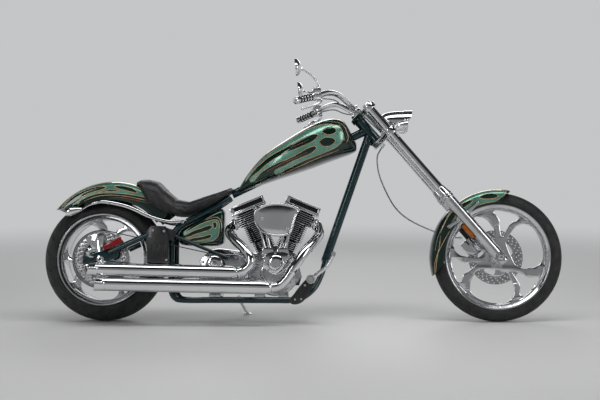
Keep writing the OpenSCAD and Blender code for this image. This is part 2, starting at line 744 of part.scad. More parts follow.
lamp_at = fork_point(64, 0, 905);
lamp_d = 112;
signal_d = 48;
module front_lamps() color("silver") parked() {
  translate(lamp_at) rotate([0, 90, 0]) {
    translate([0, 0, -82]) cylinder(d1 = 44, d2 = 96, h = 52);
    translate([0, 0, -30]) cylinder(d1 = 96, d2 = lamp_d, h = 40);
    translate([0, 0, 10]) cylinder(d = lamp_d, h = 66);
  }
  on_fork() difference() {
    bar([lamp_lug, 0, lower_tree_s + lower_tree_t - 10], [14, 0, 926], 20);
    translate([-100, -100, lower_tree_s]) cube([200, 200, lower_tree_t]);
  }
  both_sides() on_fork() translate([clamp_r + small_gap, leg_y, lower_tree_s + lower_tree_t / 2])
    rotate([0, 90, 0]) {
      cylinder(d = 16, h = 14);
      translate([0, 0, 14]) rotate([0, rake - 4, 0]) cylinder(d1 = 24, d2 = signal_d, h = 50);
    }
}

front_fender_r = front_r + 20;
front_skirt_depth = 78;
front_fender_arc = [79, 205];
module front_fender() color("darkgreen") parked() translate([wheelbase, 0, front_r]) {
  difference() {
    fender(fender_section(front_fender_w / 2, front_fender_r, 24, front_skirt_depth),
      fender_section(front_fender_w / 2 - fender_sheet, front_fender_r - fender_sheet, 24,
        front_skirt_depth + 10), front_fender_arc);
    across(-200, 200) polygon([[-2, front_fender_r - 86], [68, front_fender_r - 9],
      [120, front_fender_r - 9], [120, 200], [-2, 200]]);
  }
  both_sides() rotate([0, -rake, 0]) translate([0, 0, front_fender_r - 36])
    cross_bar(18, front_fender_w / 2 - 1, leg_y - slider_d / 2 - small_gap);
}

front_hub_high = 65;
front_hub_low = -76;
module front_axle() color("silver") parked() on_fork() difference() {
  union() {
    cross_bar(front_axle_d, -leg_y - slider_d / 2 - 8, leg_y + slider_d / 2 + 8);
    both_sides() cross_bar(32, leg_y + slider_d / 2 + small_gap, leg_y + slider_d / 2 + 8);
    cross_bar(36, -leg_y + slider_d / 2 + small_gap, front_hub_low - 1);
    cross_bar(36, front_hub_high + disc_t + 1, leg_y - slider_d / 2 - small_gap);
  }
  cross_bar(axle_bore_d, -300, 300);
}

caliper_low_y = 56;
caliper_high_y = 98;
module front_caliper() color("silver") parked() on_fork() difference() {
  translate([-102, caliper_low_y, 74]) cube([68, caliper_high_y - caliper_low_y, 100]);
  cross_bar(front_disc_d + 10, front_hub_high - 2.5, front_hub_high + disc_t + 2.5);
}

hose_d = 8;
hose_route = [[1490, 96, 953], [1470, 98, 926], [1452, 98, 880], [1462, 96, 792],
  [1502, 92, 690], [1552, 88, 606], [1620, 84, 546], [1720, 80, 496], [1810, 78, 464],
  [1876, 78, 448], [1904, 78, 446]];
module brake_hose() color("black") parked() tube(curve(hose_route, 4), hose_d / 2, 8);

// ---------- Wheels ----------

hub_half = 96;
axle_bore_d = 12;
bead_drop = 14;
flange_w = 8;
front_rim_half = 44;
rear_rim_half = 116;
tyre_wall = 12;
disc_t = 5;

// A half section [distance from the middle, radius] mirrored into a closed outline
function whole_section(o) = concat(o, [for (i = [len(o) - 2 : -1 : 1]) [-o[i].x, o[i].y]]);
module spun(section) rotate([90, 0, 0]) rotate_extrude($fn = 96)
  polygon([for (p = section) [p.y, -p.x]]);

function tyre_half(r, w, crown, flange, rim_half) =
  let (reach = asin(0.93 * w / 2 / crown), shoulder = r - crown * (1 - cos(reach)),
    seat = rim_half - flange_w, drop = shoulder - flange) concat(
    [for (i = [0 : 6]) [crown * sin(reach * i / 6), r - crown * (1 - cos(reach * i / 6))]],
    [[0.985 * w / 2, shoulder - 0.3 * drop], [w / 2, shoulder - 0.6 * drop],
      [0.95 * w / 2, flange + small_gap + 2], [seat, flange + small_gap],
      [seat, flange - bead_drop], [seat - tyre_wall, flange - bead_drop],
      [seat - tyre_wall + 4, flange + 6], [w / 2 - tyre_wall, shoulder - 0.4 * drop]],
    [for (i = [6 : -1 : 0]) [(crown - tyre_wall) * sin(reach * i / 6) * 0.92,
      r - tyre_wall - crown * (1 - cos(reach * i / 6))]]);

// Half section of a rim barrel with its flange, bead seat and well
function barrel_half(h, fr) = [[0, fr - 22], [h - 30, fr - 22], [h - 22, fr - bead_drop],
  [h - flange_w, fr - bead_drop], [h - flange_w, fr], [h, fr], [h, fr - 10], [h - 12, fr - 24],
  [h - 28, fr - 32], [0, fr - 32]];

// Spoked web: three wide windows and three narrow ones between pairs of spokes
module spoke_pattern(r, hub_r, turn) difference() {
  circle(r);
  for (k = [0 : 2]) rotate(turn + 120 * k) {
    polygon(ring_piece([0, 0], hub_r + 0.22 * r, 0.9 * r, -31, 31, 10));
    polygon(ring_piece([0, 0], hub_r + 0.3 * r, 0.9 * r, 47, 73, 6));
  }
}

module rim(half, flange_r, hub_r, hub_low, hub_high, web_y, web_t, bore, turn) difference() {
  union() {
    spun(whole_section(barrel_half(half, flange_r)));
    across(web_y - web_t / 2, web_y + web_t / 2) spoke_pattern(flange_r - 28, hub_r, turn);
    cross_bar(2 * hub_r, hub_low, hub_high);
  }
  cross_bar(bore + 2 * running_fit, -300, 300);
}

module front_tyre() color([0.08, 0.08, 0.08]) parked() translate([wheelbase, 0, front_r])
  spun(whole_section(tyre_half(front_r, front_tyre_w, front_crown_r, front_rim_d / 2,
    front_rim_half)));
module front_rim() color("silver") parked() translate([wheelbase, 0, front_r])
  rim(front_rim_half, front_rim_d / 2, 38, front_hub_low, front_hub_high, 0, 26,
    front_axle_d, 17);
module front_disc() color("silver") parked() translate([wheelbase, 0, front_r]) difference() {
  cross_bar(front_disc_d, front_hub_high, front_hub_high + disc_t);
  cross_bar(front_axle_d + 6, 0, 200);
}

module rear_tyre() color([0.08, 0.08, 0.08]) parked() translate(rear_axle_at)
  spun(whole_section(tyre_half(rear_r, rear_tyre_w, rear_crown_r, rear_rim_d / 2,
    rear_rim_half)));
module rear_rim() color("silver") parked() translate(rear_axle_at)
  rim(rear_rim_half, rear_rim_d / 2, 46, -hub_half, hub_half, -30, 30, rear_axle_d, 17);

pulley_wall = 6;
pulley_web_y = -114;
pulley_hub_d = 96;
// Belt pulley with the brake rotor carried inside its rim
module rear_pulley() color("silver") parked() translate(rear_axle_at) difference() {
  union() {
    difference() {
      cross_bar(pulley_d, belt_mid_y - belt_w / 2, pulley_web_y + 4);
      cross_bar(pulley_d - 2 * pulley_wall, -300, pulley_web_y - 4);
    }
    difference() {
      cross_bar(pulley_d - pulley_wall, rotor_y - rotor_t / 2, rotor_y + rotor_t / 2);
      cross_bar(2 * rotor_inner_r, -300, 300);
    }
    cross_bar(pulley_hub_d, belt_mid_y - belt_w / 2, -hub_half);
  }
  cross_bar(rear_axle_d + 2 * running_fit, -300, 300);
  for (a = [0 : 72 : 359]) rotate([0, a, 0]) translate([92, 0, 0])
    cross_bar(46, pulley_web_y - 10, pulley_web_y + 10);
}

frame_backbone();
frame_downtube();
right_frame_rail();
left_frame_rail();
swingarm_housings();
swingarm();
rear_axle();
crankcase();
cam_cover();
primary_cover();
gearbox();
front_cylinder();
rear_cylinder();
rocker_boxes();
pushrod_tubes();
carburettor();
air_cleaner();
front_exhaust();
rear_exhaust();
oil_tank();
fuel_tank();
fuel_cap();
seat();
rear_fender();
fender_struts();
rear_turn_signals();
drive_belt();
rear_caliper();
right_foot_control();
left_foot_control();
side_stand();
steering_trees();
right_fork_leg();
left_fork_leg();
handlebar();
hand_controls();
mirrors();
front_lamps();
front_fender();
front_axle();
front_caliper();
brake_hose();
front_tyre();
front_rim();
front_disc();
rear_tyre();
rear_rim();
rear_pulley();
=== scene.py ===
import math

import bmesh
import bpy
from mathutils import Matrix, Vector
from mathutils.bvhtree import BVHTree


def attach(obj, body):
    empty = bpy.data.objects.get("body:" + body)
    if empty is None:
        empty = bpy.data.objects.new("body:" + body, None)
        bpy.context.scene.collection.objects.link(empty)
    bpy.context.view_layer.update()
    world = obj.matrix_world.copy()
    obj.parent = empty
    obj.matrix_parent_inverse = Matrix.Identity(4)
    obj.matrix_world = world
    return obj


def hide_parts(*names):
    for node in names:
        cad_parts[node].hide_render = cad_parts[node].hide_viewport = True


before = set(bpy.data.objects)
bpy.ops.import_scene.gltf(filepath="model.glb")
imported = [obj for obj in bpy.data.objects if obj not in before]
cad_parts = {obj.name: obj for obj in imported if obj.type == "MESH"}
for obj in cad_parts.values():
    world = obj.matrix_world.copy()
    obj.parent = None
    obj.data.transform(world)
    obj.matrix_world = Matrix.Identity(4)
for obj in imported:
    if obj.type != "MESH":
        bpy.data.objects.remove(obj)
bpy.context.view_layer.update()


# ---------- Studio ----------
# The machine stands side on before a pale floor that runs to the horizon.
# A long softbox overhead, a tall one by the camera, one ahead and one on the far side
# give the chrome its long clean highlights.
camera_distance, seen_width, sensor_width = 7.1, 3.192, 36
camera_data = bpy.data.cameras.new("side_view")
camera_data.sensor_width = sensor_width
camera_data.lens = sensor_width * camera_distance / seen_width
camera = bpy.data.objects.new("side_view", camera_data)
bpy.context.scene.collection.objects.link(camera)
looked_at = Vector((-0.016, -0.1, 0.644))
camera.location = looked_at + Vector((0.12, -camera_distance, 0.3))
camera.rotation_euler = (looked_at - camera.location).to_track_quat("-Z", "Y").to_euler()
bpy.context.scene.camera = camera
bpy.context.scene.view_settings.view_transform = "Standard"


def softbox(name, at, aim, width, height, watts):
    lamp = bpy.data.lights.new(name, "AREA")
    lamp.shape = "RECTANGLE"
    lamp.size, lamp.size_y, lamp.energy = width, height, watts
    box = bpy.data.objects.new(name, lamp)
    box.location = at
    box.rotation_euler = (Vector(aim) - Vector(at)).to_track_quat("-Z", "Y").to_euler()
    bpy.context.scene.collection.objects.link(box)


softbox("overhead_box", (0.2, -1.2, 3.6), (0, 0, 0.5), 4.2, 1.3, 62)
softbox("camera_side_box", (-2.6, -4.2, 2.4), (0, 0, 0.5), 0.5, 2.2, 24)
softbox("front_side_box", (4.2, -2.6, 1.9), (0.4, 0, 0.5), 1.4, 2.0, 34)
softbox("far_side_box", (0.0, 4.0, 2.8), (0, 0, 0.5), 3.6, 1.2, 44)

floor_bm = bmesh.new()
bmesh.ops.create_grid(floor_bm, x_segments=1, y_segments=1, size=60)
floor_mesh = bpy.data.meshes.new("studio_floor")
floor_bm.to_mesh(floor_mesh)
floor = bpy.data.objects.new("studio_floor", floor_mesh)
bpy.context.scene.collection.objects.link(floor)
floor_paint = bpy.data.materials.new("studio_floor")
floor_paint.use_nodes = True
ground = floor_paint.node_tree
floor_shader = ground.nodes["Principled BSDF"]
floor_shader.inputs["Base Color"].default_value = (0.62, 0.62, 0.615, 1)
floor_shader.inputs["Roughness"].default_value = 0.55
floor_mesh.materials.append(floor_paint)


def wired(tree, kind, numbers=(), feeds=()):
    """A new shader node with its numbers set and its inputs fed from other nodes."""
    node = tree.nodes.new("ShaderNode" + kind)
    for socket, number in dict(numbers).items():
        node.inputs[socket].default_value = number
    for socket, source in dict(feeds).items():
        tree.links.new(source, node.inputs[socket])
    return node


def joined_up(tree, operation, first, second):
    node = wired(tree, "Math", feeds={0: first, 1: second})
    node.operation = operation
    return node.outputs[0]


def seen_directly(tree):
    """1 for what the camera, a mirror finish or glass shows, 0 for light itself."""
    ray = wired(tree, "LightPath").outputs
    direct = joined_up(tree, "MAXIMUM", ray["Is Camera Ray"], ray["Is Glossy Ray"])
    return joined_up(tree, "MAXIMUM", direct, ray["Is Transmission Ray"])


def ramp(tree, value, start, end, low, high):
    """A smooth change from low to high as the value goes from start to end."""
    change = wired(tree, "MapRange", {"From Min": start, "From Max": end, "To Min": low,
        "To Max": high}, {"Value": value})
    change.interpolation_type = "SMOOTHSTEP"
    return change.outputs["Result"]


def lit_room(tree, along_y, front, back):
    """How bright the room is: pale behind the machine and dark behind the camera,
    where only what the chrome shows is dimmed."""
    eye, dimmed = wired(tree, "LightPath").outputs["Is Camera Ray"], 0.42
    return joined_up(tree, "MAXIMUM", ramp(tree, along_y, front, back, dimmed, 1.0), eye)


# Far from the machine the floor runs up into the backdrop with no edge
backdrop_colour, backdrop_strength = (0.93, 0.94, 0.95, 1), 0.6
place = wired(ground, "TexCoord").outputs["Object"]
distance = wired(ground, "VectorMath", feeds={0: place})
distance.operation = "LENGTH"
across = wired(ground, "SeparateXYZ", feeds={"Vector": place})
fade_start, fade_end = 1.6, 9.0
faded = joined_up(ground, "MULTIPLY", ramp(ground, distance.outputs["Value"], fade_start, fade_end,
    0, 1), seen_directly(ground))
far_glow = wired(ground, "Emission", {"Color": [c * backdrop_strength for c in backdrop_colour[:3]]
    + [1]}, {"Strength": lit_room(ground, across.outputs["Y"], -3, 1)})
blend = wired(ground, "MixShader", feeds={0: faded, 1: floor_shader.outputs["BSDF"],
    2: far_glow.outputs["Emission"]})
ground.links.new(blend.outputs["Shader"], ground.nodes["Material Output"].inputs["Surface"])

world = bpy.data.worlds.new("studio")
bpy.context.scene.world = world
world.use_nodes = True
sky = world.node_tree
facing = wired(sky, "SeparateXYZ", feeds={"Vector": wired(sky, "TexCoord").outputs["Generated"]})
shown = joined_up(sky, "MULTIPLY", ramp(sky, facing.outputs["Z"], 0.26, 0.5, backdrop_strength,
    0.05), lit_room(sky, facing.outputs["Y"], -0.35, 0.25))
lamp_light = 0.4
strength = wired(sky, "MapRange", {"To Min": lamp_light}, {"Value": seen_directly(sky),
    "To Max": shown})
backdrop = sky.nodes["Background"]
backdrop.inputs["Color"].default_value = backdrop_colour
sky.links.new(strength.outputs["Result"], backdrop.inputs["Strength"])


# ---------- Main frame tubes ----------
# Steel tubes bent and welded: backbone, downtube and the two rails under the engine.
# They are sprayed a dark teal gloss; the backbone's weld at the neck shows as a low bead.
lean, wheelbase = math.radians(6), 2085
front_crown, rear_crown = 56, 150
front_axle_height, rear_axle_height = 342, 324
pitch = math.atan((front_crown - rear_crown) * (1 - math.cos(lean)) / wheelbase)
# The machine is modelled upright in millimetres, with the ground point under the
# rear axle at the origin, then leaned onto its side stand.
parked = (Matrix.Scale(0.001, 4) @ Matrix.Translation((-1051.5, -133,
    rear_crown * (1 - math.cos(lean)))) @ Matrix.Rotation(-pitch, 4, "Y")
    @ Matrix.Rotation(-lean, 4, "X"))
rake = math.radians(41)
fork_frame = Matrix.Translation((wheelbase, 0, front_axle_height)) @ Matrix.Rotation(-rake, 4, "Y")
other_side = Matrix.Scale(-1, 4, (0, 1, 0))
quarter_turn = Matrix.Rotation(-math.pi / 2, 4, "X")


def shifted(x, y, z):
    return Matrix.Translation((x, y, z))


def swung(degrees, axis):
    return Matrix.Rotation(math.radians(degrees), 4, axis)


def moved(bm, matrix):
    bmesh.ops.transform(bm, matrix=matrix, verts=bm.verts)
    if matrix.to_3x3().determinant() < 0:
        bmesh.ops.reverse_faces(bm, faces=bm.faces)
    return bm


def joined(*pieces):
    whole = bmesh.new()
    for bm in pieces:
        carrier = bpy.data.meshes.new("carrier")
        bm.to_mesh(carrier)
        whole.from_mesh(carrier)
        bpy.data.meshes.remove(carrier)
        bm.free()
    return whole


def copied(bm, matrix=Matrix()):
    return moved(bm.copy(), matrix)


def both_sides(bm):
    return joined(copied(bm, other_side), bm)


def softened(bm, width, segments=2, angle=35):
    edges = [e for e in bm.edges if e.is_manifold and e.calc_face_angle(0) > math.radians(angle)]
    bmesh.ops.bevel(bm, geom=edges, offset=width, offset_type="OFFSET", affect="EDGES",
        segments=segments, profile=0.5, material=-1, clamp_overlap=True)
    return bm


def add_piece(name, bm, finish, body, nodes=(), place=parked, crease=38):
    moved(bm, place)
    for face in bm.faces:
        face.smooth = True
    for edge in bm.edges:
        edge.smooth = not edge.is_manifold or edge.calc_face_angle(0) < math.radians(crease)
    mesh = bpy.data.meshes.new(name)
    bm.to_mesh(mesh)
    bm.free()
    mesh.materials.append(finish)
    piece = bpy.data.objects.new(name, mesh)
    bpy.context.scene.collection.objects.link(piece)
    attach(piece, body)
    if nodes:
        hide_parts(*nodes)
    return piece


def surface_finish(name, dark, light, grain, rough, metal=0.0, bump=0.0, coat=0.0,
        stretch=(1, 1, 1), fine=8.0, specular=0.5):
    """Colour drifts between two shades; roughness and a fine bump vary over the surface."""
    finish = bpy.data.materials.new(name)
    finish.use_nodes = True
    tree = finish.node_tree
    shader = tree.nodes["Principled BSDF"]
    for socket, number in (("Metallic", metal), ("Coat Weight", coat), ("Coat Roughness", 0.03),
            ("Specular IOR Level", specular)):
        shader.inputs[socket].default_value = number
    stretched = wired(tree, "Mapping", {"Scale": stretch},
        {"Vector": wired(tree, "TexCoord").outputs["Object"]})
    drift, speckle = [wired(tree, "TexNoise", {"Scale": scale, "Detail": detail},
        {"Vector": stretched.outputs["Vector"]}).outputs["Fac"]
        for scale, detail in ((grain, 4), (grain * fine, 5))]
    shades = wired(tree, "ValToRGB", feeds={"Fac": drift})
    shades.name = "shades"
    # noise keeps to its middle range, so the change from one end to the other is made there
    low, high = 0.3, 0.7
    for stop, position, colour in zip(shades.color_ramp.elements, (low, high), (dark, light)):
        stop.position, stop.color = position, (*colour, 1)
    tree.links.new(shades.outputs["Color"], shader.inputs["Base Color"])
    gloss = wired(tree, "MapRange", {"From Min": low, "From Max": high, "To Min": rough[0],
        "To Max": rough[1]}, {"Value": speckle})
    tree.links.new(gloss.outputs["Result"], shader.inputs["Roughness"])
    if bump:
        relief = wired(tree, "Bump", {"Strength": bump, "Distance": 0.0006}, {"Height": speckle})
        tree.links.new(relief.outputs["Normal"], shader.inputs["Normal"])
    return finish


def turned(profile, steps=48):
    """Profile points (radius, height) turned about the upright axis into a closed solid."""
    bm = bmesh.new()
    verts = [bm.verts.new((r, 0, z)) for r, z in profile]
    round_trip = verts + verts[:1] if profile[0][0] > 0 or profile[-1][0] > 0 else verts
    edges = [bm.edges.new(pair) for pair in zip(round_trip, round_trip[1:])]
    bmesh.ops.spin(bm, geom=verts + edges, cent=(0, 0, 0), axis=(0, 0, 1), dvec=(0, 0, 0),
        angle=math.tau, steps=steps, use_merge=True)
    bmesh.ops.remove_doubles(bm, verts=bm.verts, dist=0.005)
    bmesh.ops.recalc_face_normals(bm, faces=bm.faces)
    return bm


def aimed(a, b):
    """Places something drawn up the Z axis so that it runs from a towards b."""
    a, b = Vector(a), Vector(b)
    return Matrix.Translation(a) @ (b - a).to_track_quat("Z", "Y").to_matrix().to_4x4()


def rod(a, b, radius, end=1.0, steps=32):
    length = (Vector(b) - Vector(a)).length
    end = min(end, radius * 0.4)
    return moved(turned([(0, 0), (radius - end, 0), (radius, end), (radius, length - end),
        (radius - end, length), (0, length)], steps), aimed(a, b))


def meshed(curve):
    """The curve's solid as a bmesh; the curve itself is thrown away."""
    holder = bpy.data.objects.new("holder", curve)
    bm = bmesh.new()
    bm.from_mesh(holder.to_mesh())
    holder.to_mesh_clear()
    bpy.data.objects.remove(holder)
    bpy.data.curves.remove(curve)
    bmesh.ops.remove_doubles(bm, verts=bm.verts, dist=0.01)
    return bm


def bent_tube(points, radius, sides=3, steps=6):
    """A round tube through the points; radius is one number or one for each point."""
    points = [Vector(p) for p in points]
    sizes = radius if isinstance(radius, list) else [radius] * len(points)
    route = bpy.data.curves.new("route", "CURVE")
    route.dimensions, route.twist_mode = "3D", "MINIMUM"
    spline = route.splines.new("BEZIER")
    spline.bezier_points.add(len(points) - 1)
    for i, (knot, p) in enumerate(zip(spline.bezier_points, points)):
        before = points[i - 1] if i else 2 * p - points[1]
        after = points[i + 1] if i < len(points) - 1 else 2 * p - points[i - 1]
        knot.co = p
        knot.handle_left, knot.handle_right = p - (after - before) / 6, p + (after - before) / 6
        knot.radius = sizes[i]
    route.bevel_depth, route.bevel_resolution = 1.0, sides
    route.resolution_u, route.use_fill_caps = steps, True
    bm = meshed(route)
    bmesh.ops.recalc_face_normals(bm, faces=bm.faces)
    return bm


frame_paint = surface_finish("frame_paint", (0.002, 0.017, 0.021), (0.004, 0.028, 0.034), grain=14,
    rough=(0.12, 0.22), bump=0.08, coat=1.0, specular=0.1)


def on_fork(forward, side, up):
    return fork_frame @ Vector((forward, side, up))


backbone_end = Vector((672, 0, 674))
backbone_start = on_fork(-75, 0, 965)
downtube_start, downtube_end = on_fork(-75, 0, 944.3), Vector((1172, 0, 326))
neck = moved(turned([(15.1, 0), (31, 0), (31, 9), (29.5, 12), (29.5, 125.1), (31, 128),
    (31, 137.4), (15.1, 137.4)]), fork_frame @ shifted(-75, 0, 890.3))
neck_weld = bent_tube([backbone_start + 42 * (backbone_end - backbone_start).normalized()
    + 22.6 * Vector((math.cos(a) * 0.55, math.sin(a), math.cos(a) * -0.83))
    for a in [i * math.tau / 16 for i in range(17)]], 2.6, sides=1, steps=2)
add_piece("backbone_tube", joined(rod(backbone_end, backbone_start, 23), neck, neck_weld),
    frame_paint, "chassis", ["frame_backbone"])
add_piece("front_downtube", joined(rod(downtube_end, downtube_start, 23),
    rod(downtube_end - Vector((-3, 0, 14)), downtube_end + Vector((3, 0, 14)), 25.5, end=4),
    rod(on_fork(-75, 0, 900) + Vector((-38, 0, -16)), on_fork(-75, 0, 900) + Vector((-42, 0, -30)),
    25)), frame_paint, "chassis", ["frame_downtube"])

rail_route = [(1172, 17, 322), (1150, 40, 250), (1112, 78, 176), (1050, 106, 126), (985, 118, 112),
    (900, 118, 112), (600, 118, 112), (430, 118, 112), (382, 118, 124), (362, 118, 166),
    (362, 118, 250), (362, 118, 400), (374, 118, 462), (420, 112, 512), (520, 84, 566),
    (600, 56, 613), (664, 30, 654)]
pivot_boss = moved(turned([(18.1, -13), (28, -13), (30, -11), (30, 11), (28, 13), (18.1, 13)]),
    shifted(406, 118, 270) @ quarter_turn)
left_rail = joined(bent_tube(rail_route, 16, sides=5), pivot_boss)
right_rail = copied(left_rail, other_side)
brace = rod((366, -118, 452), (660, -121.5, 330), 9)
add_piece("right_rail", joined(right_rail, brace), frame_paint, "chassis", ["right_frame_rail"])

# The stand's lug and pin are welded to the left rail
stand_pivot = Vector((700, 162, 116))
floor_under_foot = (284 * math.sin(lean) - rear_crown * (1 - math.cos(lean))
    - 742 * math.sin(pitch)) / math.cos(lean)
stand_foot = Vector((742, 284, floor_under_foot))
stand_axis = (stand_foot - stand_pivot).cross(Vector((-1, 0.1, 0.02))).normalized()
lug = joined(rod(stand_pivot - 20.5 * stand_axis, stand_pivot - 8.5 * stand_axis, 14),
    rod(stand_pivot - 14 * stand_axis, stand_pivot + 14 * stand_axis, 6),
    rod(stand_pivot + 8.5 * stand_axis, stand_pivot + 14.5 * stand_axis, 10), rod((698, 118, 110),
    stand_pivot - 17 * stand_axis, 8))
add_piece("left_rail", joined(left_rail, lug), frame_paint, "chassis", ["left_frame_rail"])


# ---------- Wheels ----------
# Billet alloy wheels, machined from one forging and mirror polished: a deep lipped rim
# and three pairs of hooked spokes, each with a cut step part of the way out.
wheel_alloy = surface_finish("wheel_alloy", (0.66, 0.67, 0.69), (0.8, 0.81, 0.82), grain=9,
    rough=(0.08, 0.17), metal=1.0, bump=0.05)
# Windows as (degrees from the window's middle, share of the flange radius)
wide_window = [(43.6, 0.345), (43.5, 0.49), (41.9, 0.616), (39.4, 0.717), (32.8, 0.817),
    (23.1, 0.87), (10.7, 0.873), (-1.4, 0.868), (-14.3, 0.862), (-24.2, 0.826), (-32.4, 0.72),
    (-36.6, 0.616), (-42, 0.506), (-39, 0.362), (-14, 0.262), (18, 0.25)]
narrow_window = [(16.6, 0.868), (7.2, 0.875), (-5.6, 0.873), (-15, 0.862), (-15.5, 0.8),
    (-9, 0.69), (-6.7, 0.58), (-4.6, 0.463), (-1, 0.4), (4.5, 0.458), (9, 0.6), (9.5, 0.7),
    (13.5, 0.78)]


def flat_plate(outlines, thick, edge, y=0, smooth=True):
    """Closed outlines in (x, z), the later ones holes, made thick across the machine at y."""
    drawing = bpy.data.curves.new("drawing", "CURVE")
    drawing.dimensions, drawing.fill_mode = "2D", "BOTH"
    for outline in outlines:
        kind = "BEZIER" if smooth and len(outline) > 4 else "POLY"
        spline = drawing.splines.new(kind)
        if kind == "BEZIER":
            spline.bezier_points.add(len(outline) - 1)
            for i, (x, z) in enumerate(outline):
                knot = spline.bezier_points[i]
                before, after = Vector(outline[i - 1]), Vector(outline[(i + 1) % len(outline)])
                reach = (after - before).normalized()
                back = (Vector((x, z)) - before).length / 3
                ahead = (after - Vector((x, z))).length / 3
                knot.co = (x, z, 0)
                knot.handle_left = (x - reach.x * back, z - reach.y * back, 0)
                knot.handle_right = (x + reach.x * ahead, z + reach.y * ahead, 0)
        else:
            spline.points.add(len(outline) - 1)
            for knot, (x, z) in zip(spline.points, outline):
                knot.co = (x, z, 0, 1)
        spline.use_cyclic_u = True
    drawing.resolution_u = 6
    drawing.extrude = thick / 2 - edge
    drawing.bevel_depth, drawing.bevel_resolution, drawing.offset = edge, 1, -edge
    bm = moved(meshed(drawing), swung(90, "X"))
    bmesh.ops.recalc_face_normals(bm, faces=bm.faces)
    return moved(bm, shifted(0, y, 0))


def circle(radius, count, x=0, z=0):
    return [(x + radius * math.cos(i * math.tau / count),
        z + radius * math.sin(i * math.tau / count)) for i in range(count)]


def polar(radius, degrees, x=0, z=0):
    a = math.radians(degrees)
    return x + radius * math.cos(a), z + radius * math.sin(a)


def spoked_web(flange, thick, turn=17):
    def window(shape, middle):
        return [polar(share * flange, middle + a) for a, share in reversed(shape)]
    outlines = [circle(flange - 27, 48)]
    for k in range(3):
        outlines += [window(wide_window, turn + 120 * k),
            window(narrow_window, turn + 60 + 120 * k)]
    web = flat_plate(outlines, thick, 3.5)
    # each spoke is cut across by a slanted step, and stands proud outside it
    step_share, half_spoke, proud = 0.6, math.radians(17), 1.32
    for k in range(3):
        for spoke, slant in ((47.6, -28), (75.5, 28)):
            a = math.radians(turn + 120 * k + spoke)
            at = Vector((math.cos(a), 0, math.sin(a))) * flange * step_share
            way = Matrix.Rotation(math.radians(-slant), 3, "Y") @ at.normalized()
            for step in (0, 2.5):
                bmesh.ops.bisect_plane(web, geom=web.verts[:] + web.edges[:] + web.faces[:],
                    plane_co=at + way * step, plane_no=way, dist=0.001)
            for v in web.verts:
                flat = Vector((v.co.x, 0, v.co.z))
                near = abs(flat.angle(at, 9)) < half_spoke
                if near and (flat - at).dot(way) > 1.5:
                    v.co.y *= proud
    return web


def wheel(flange, half, hub, hub_low, hub_high, web_y, web_thick, bore):
    lip = [(-15, -20), (-13.5, -9), (-4, -7.5), (-0.5, -6), (0, -3), (-2, -0.4), (-7, 0),
        (-10, -1.5), (-13, -5), (-20, -8), (-24, -13), (-29, -19), (-31.5, -28)]
    barrel = turned([(flange - 22, -half + 30), (flange - 22, half - 30)]
        + [(flange + r, half + h) for r, h in lip] + [(flange + r, -half - h)
        for r, h in reversed(lip)], steps=128)
    steps = [(0.7, 0), (0.78, 3), (0.8, 12), (0.97, 18), (1, 22)]
    core = turned([(bore, hub_low)] + [(hub * share, hub_low + h) for share, h in steps]
        + [(hub * share, hub_high - h) for share, h in reversed(steps)] + [(bore, hub_high)])
    web = moved(spoked_web(flange, web_thick), shifted(0, web_y, 0))
    return joined(moved(barrel, quarter_turn), moved(core, quarter_turn), web)


front_axle_at = shifted(wheelbase, 0, front_axle_height)
rear_axle_at = shifted(0, 0, rear_axle_height)
add_piece("front_wheel_rim", wheel(281, 44, 38, -76, 65, 0, 22, 10.05), wheel_alloy, "front_wheel",
    ["front_rim"], parked @ front_axle_at)
add_piece("rear_wheel_rim", wheel(243, 116, 46, -96, 96, -30, 26, 10.05), wheel_alloy,
    "rear_wheel", ["rear_rim"], parked @ rear_axle_at)


# ---------- Tyres ----------
# Low-walled road tyres in satin black rubber. The tread has short slanted grooves
# that mirror each other across a plain centre line, and the walls carry two fine ribs.
tyre_rubber = surface_finish("tyre_rubber", (0.012, 0.012, 0.013), (0.03, 0.03, 0.031), grain=26,
    rough=(0.5, 0.72), bump=0.35, fine=14, specular=0.35)


def tyre(radius, half_w, crown, flange, seat, groove_step):
    reach = math.asin(0.93 * half_w / crown)
    shoulder = radius - crown * (1 - math.cos(reach))
    rows, slant, bay = 9, 1.2, 360 / 192
    tread = [(radius - crown * (1 - math.cos(reach * i / rows)),
        crown * math.sin(reach * i / rows)) for i in range(rows + 1)]
    drop = shoulder - flange
    wall = [(shoulder - 0.2 * drop, 0.975 * half_w), (shoulder - 0.34 * drop, 0.99 * half_w),
        (shoulder - 0.42 * drop, 0.986 * half_w), (shoulder - 0.46 * drop, half_w),
        (shoulder - 0.62 * drop, half_w), (shoulder - 0.66 * drop, 0.985 * half_w),
        (shoulder - 0.78 * drop, 0.978 * half_w), (flange + 4.5, 0.972 * half_w),
        (flange + 3.5, 0.955 * half_w), (flange + 1, 0.93 * half_w), (flange + 0.4, seat),
        (flange - 13, seat), (flange - 13.4, seat - 11), (flange + 6, seat - 7),
        (shoulder - 0.4 * drop, half_w - 13), (radius - 15, half_w * 0.5)]
    half = tread + wall
    outline = half + [(r, -y) for r, y in reversed(half) if y > 0]
    bm = turned(outline, steps=192)
    grooves = []
    for face in bm.faces:
        c = face.calc_center_median()
        r = math.hypot(c.x, c.y)
        across = abs(c.z) / (crown * math.sin(reach))
        if r < shoulder - 1 or not 0.14 < across < 0.9 or r < radius - crown * 0.6:
            continue
        turn = math.degrees(math.atan2(c.y, c.x)) % 360 / bay
        row = round(across * rows)
        upper = c.z > 0
        offset = groove_step / 2 if upper else 0
        if round(turn - (slant if upper else -slant) * row + offset) % groove_step == 0:
            grooves.append(face)
    for inward, sunk in ((1.2, 0), (0.8, -3.2)):
        bmesh.ops.inset_region(bm, faces=grooves, thickness=inward, depth=sunk,
            use_even_offset=True)
    return moved(bm, quarter_turn)


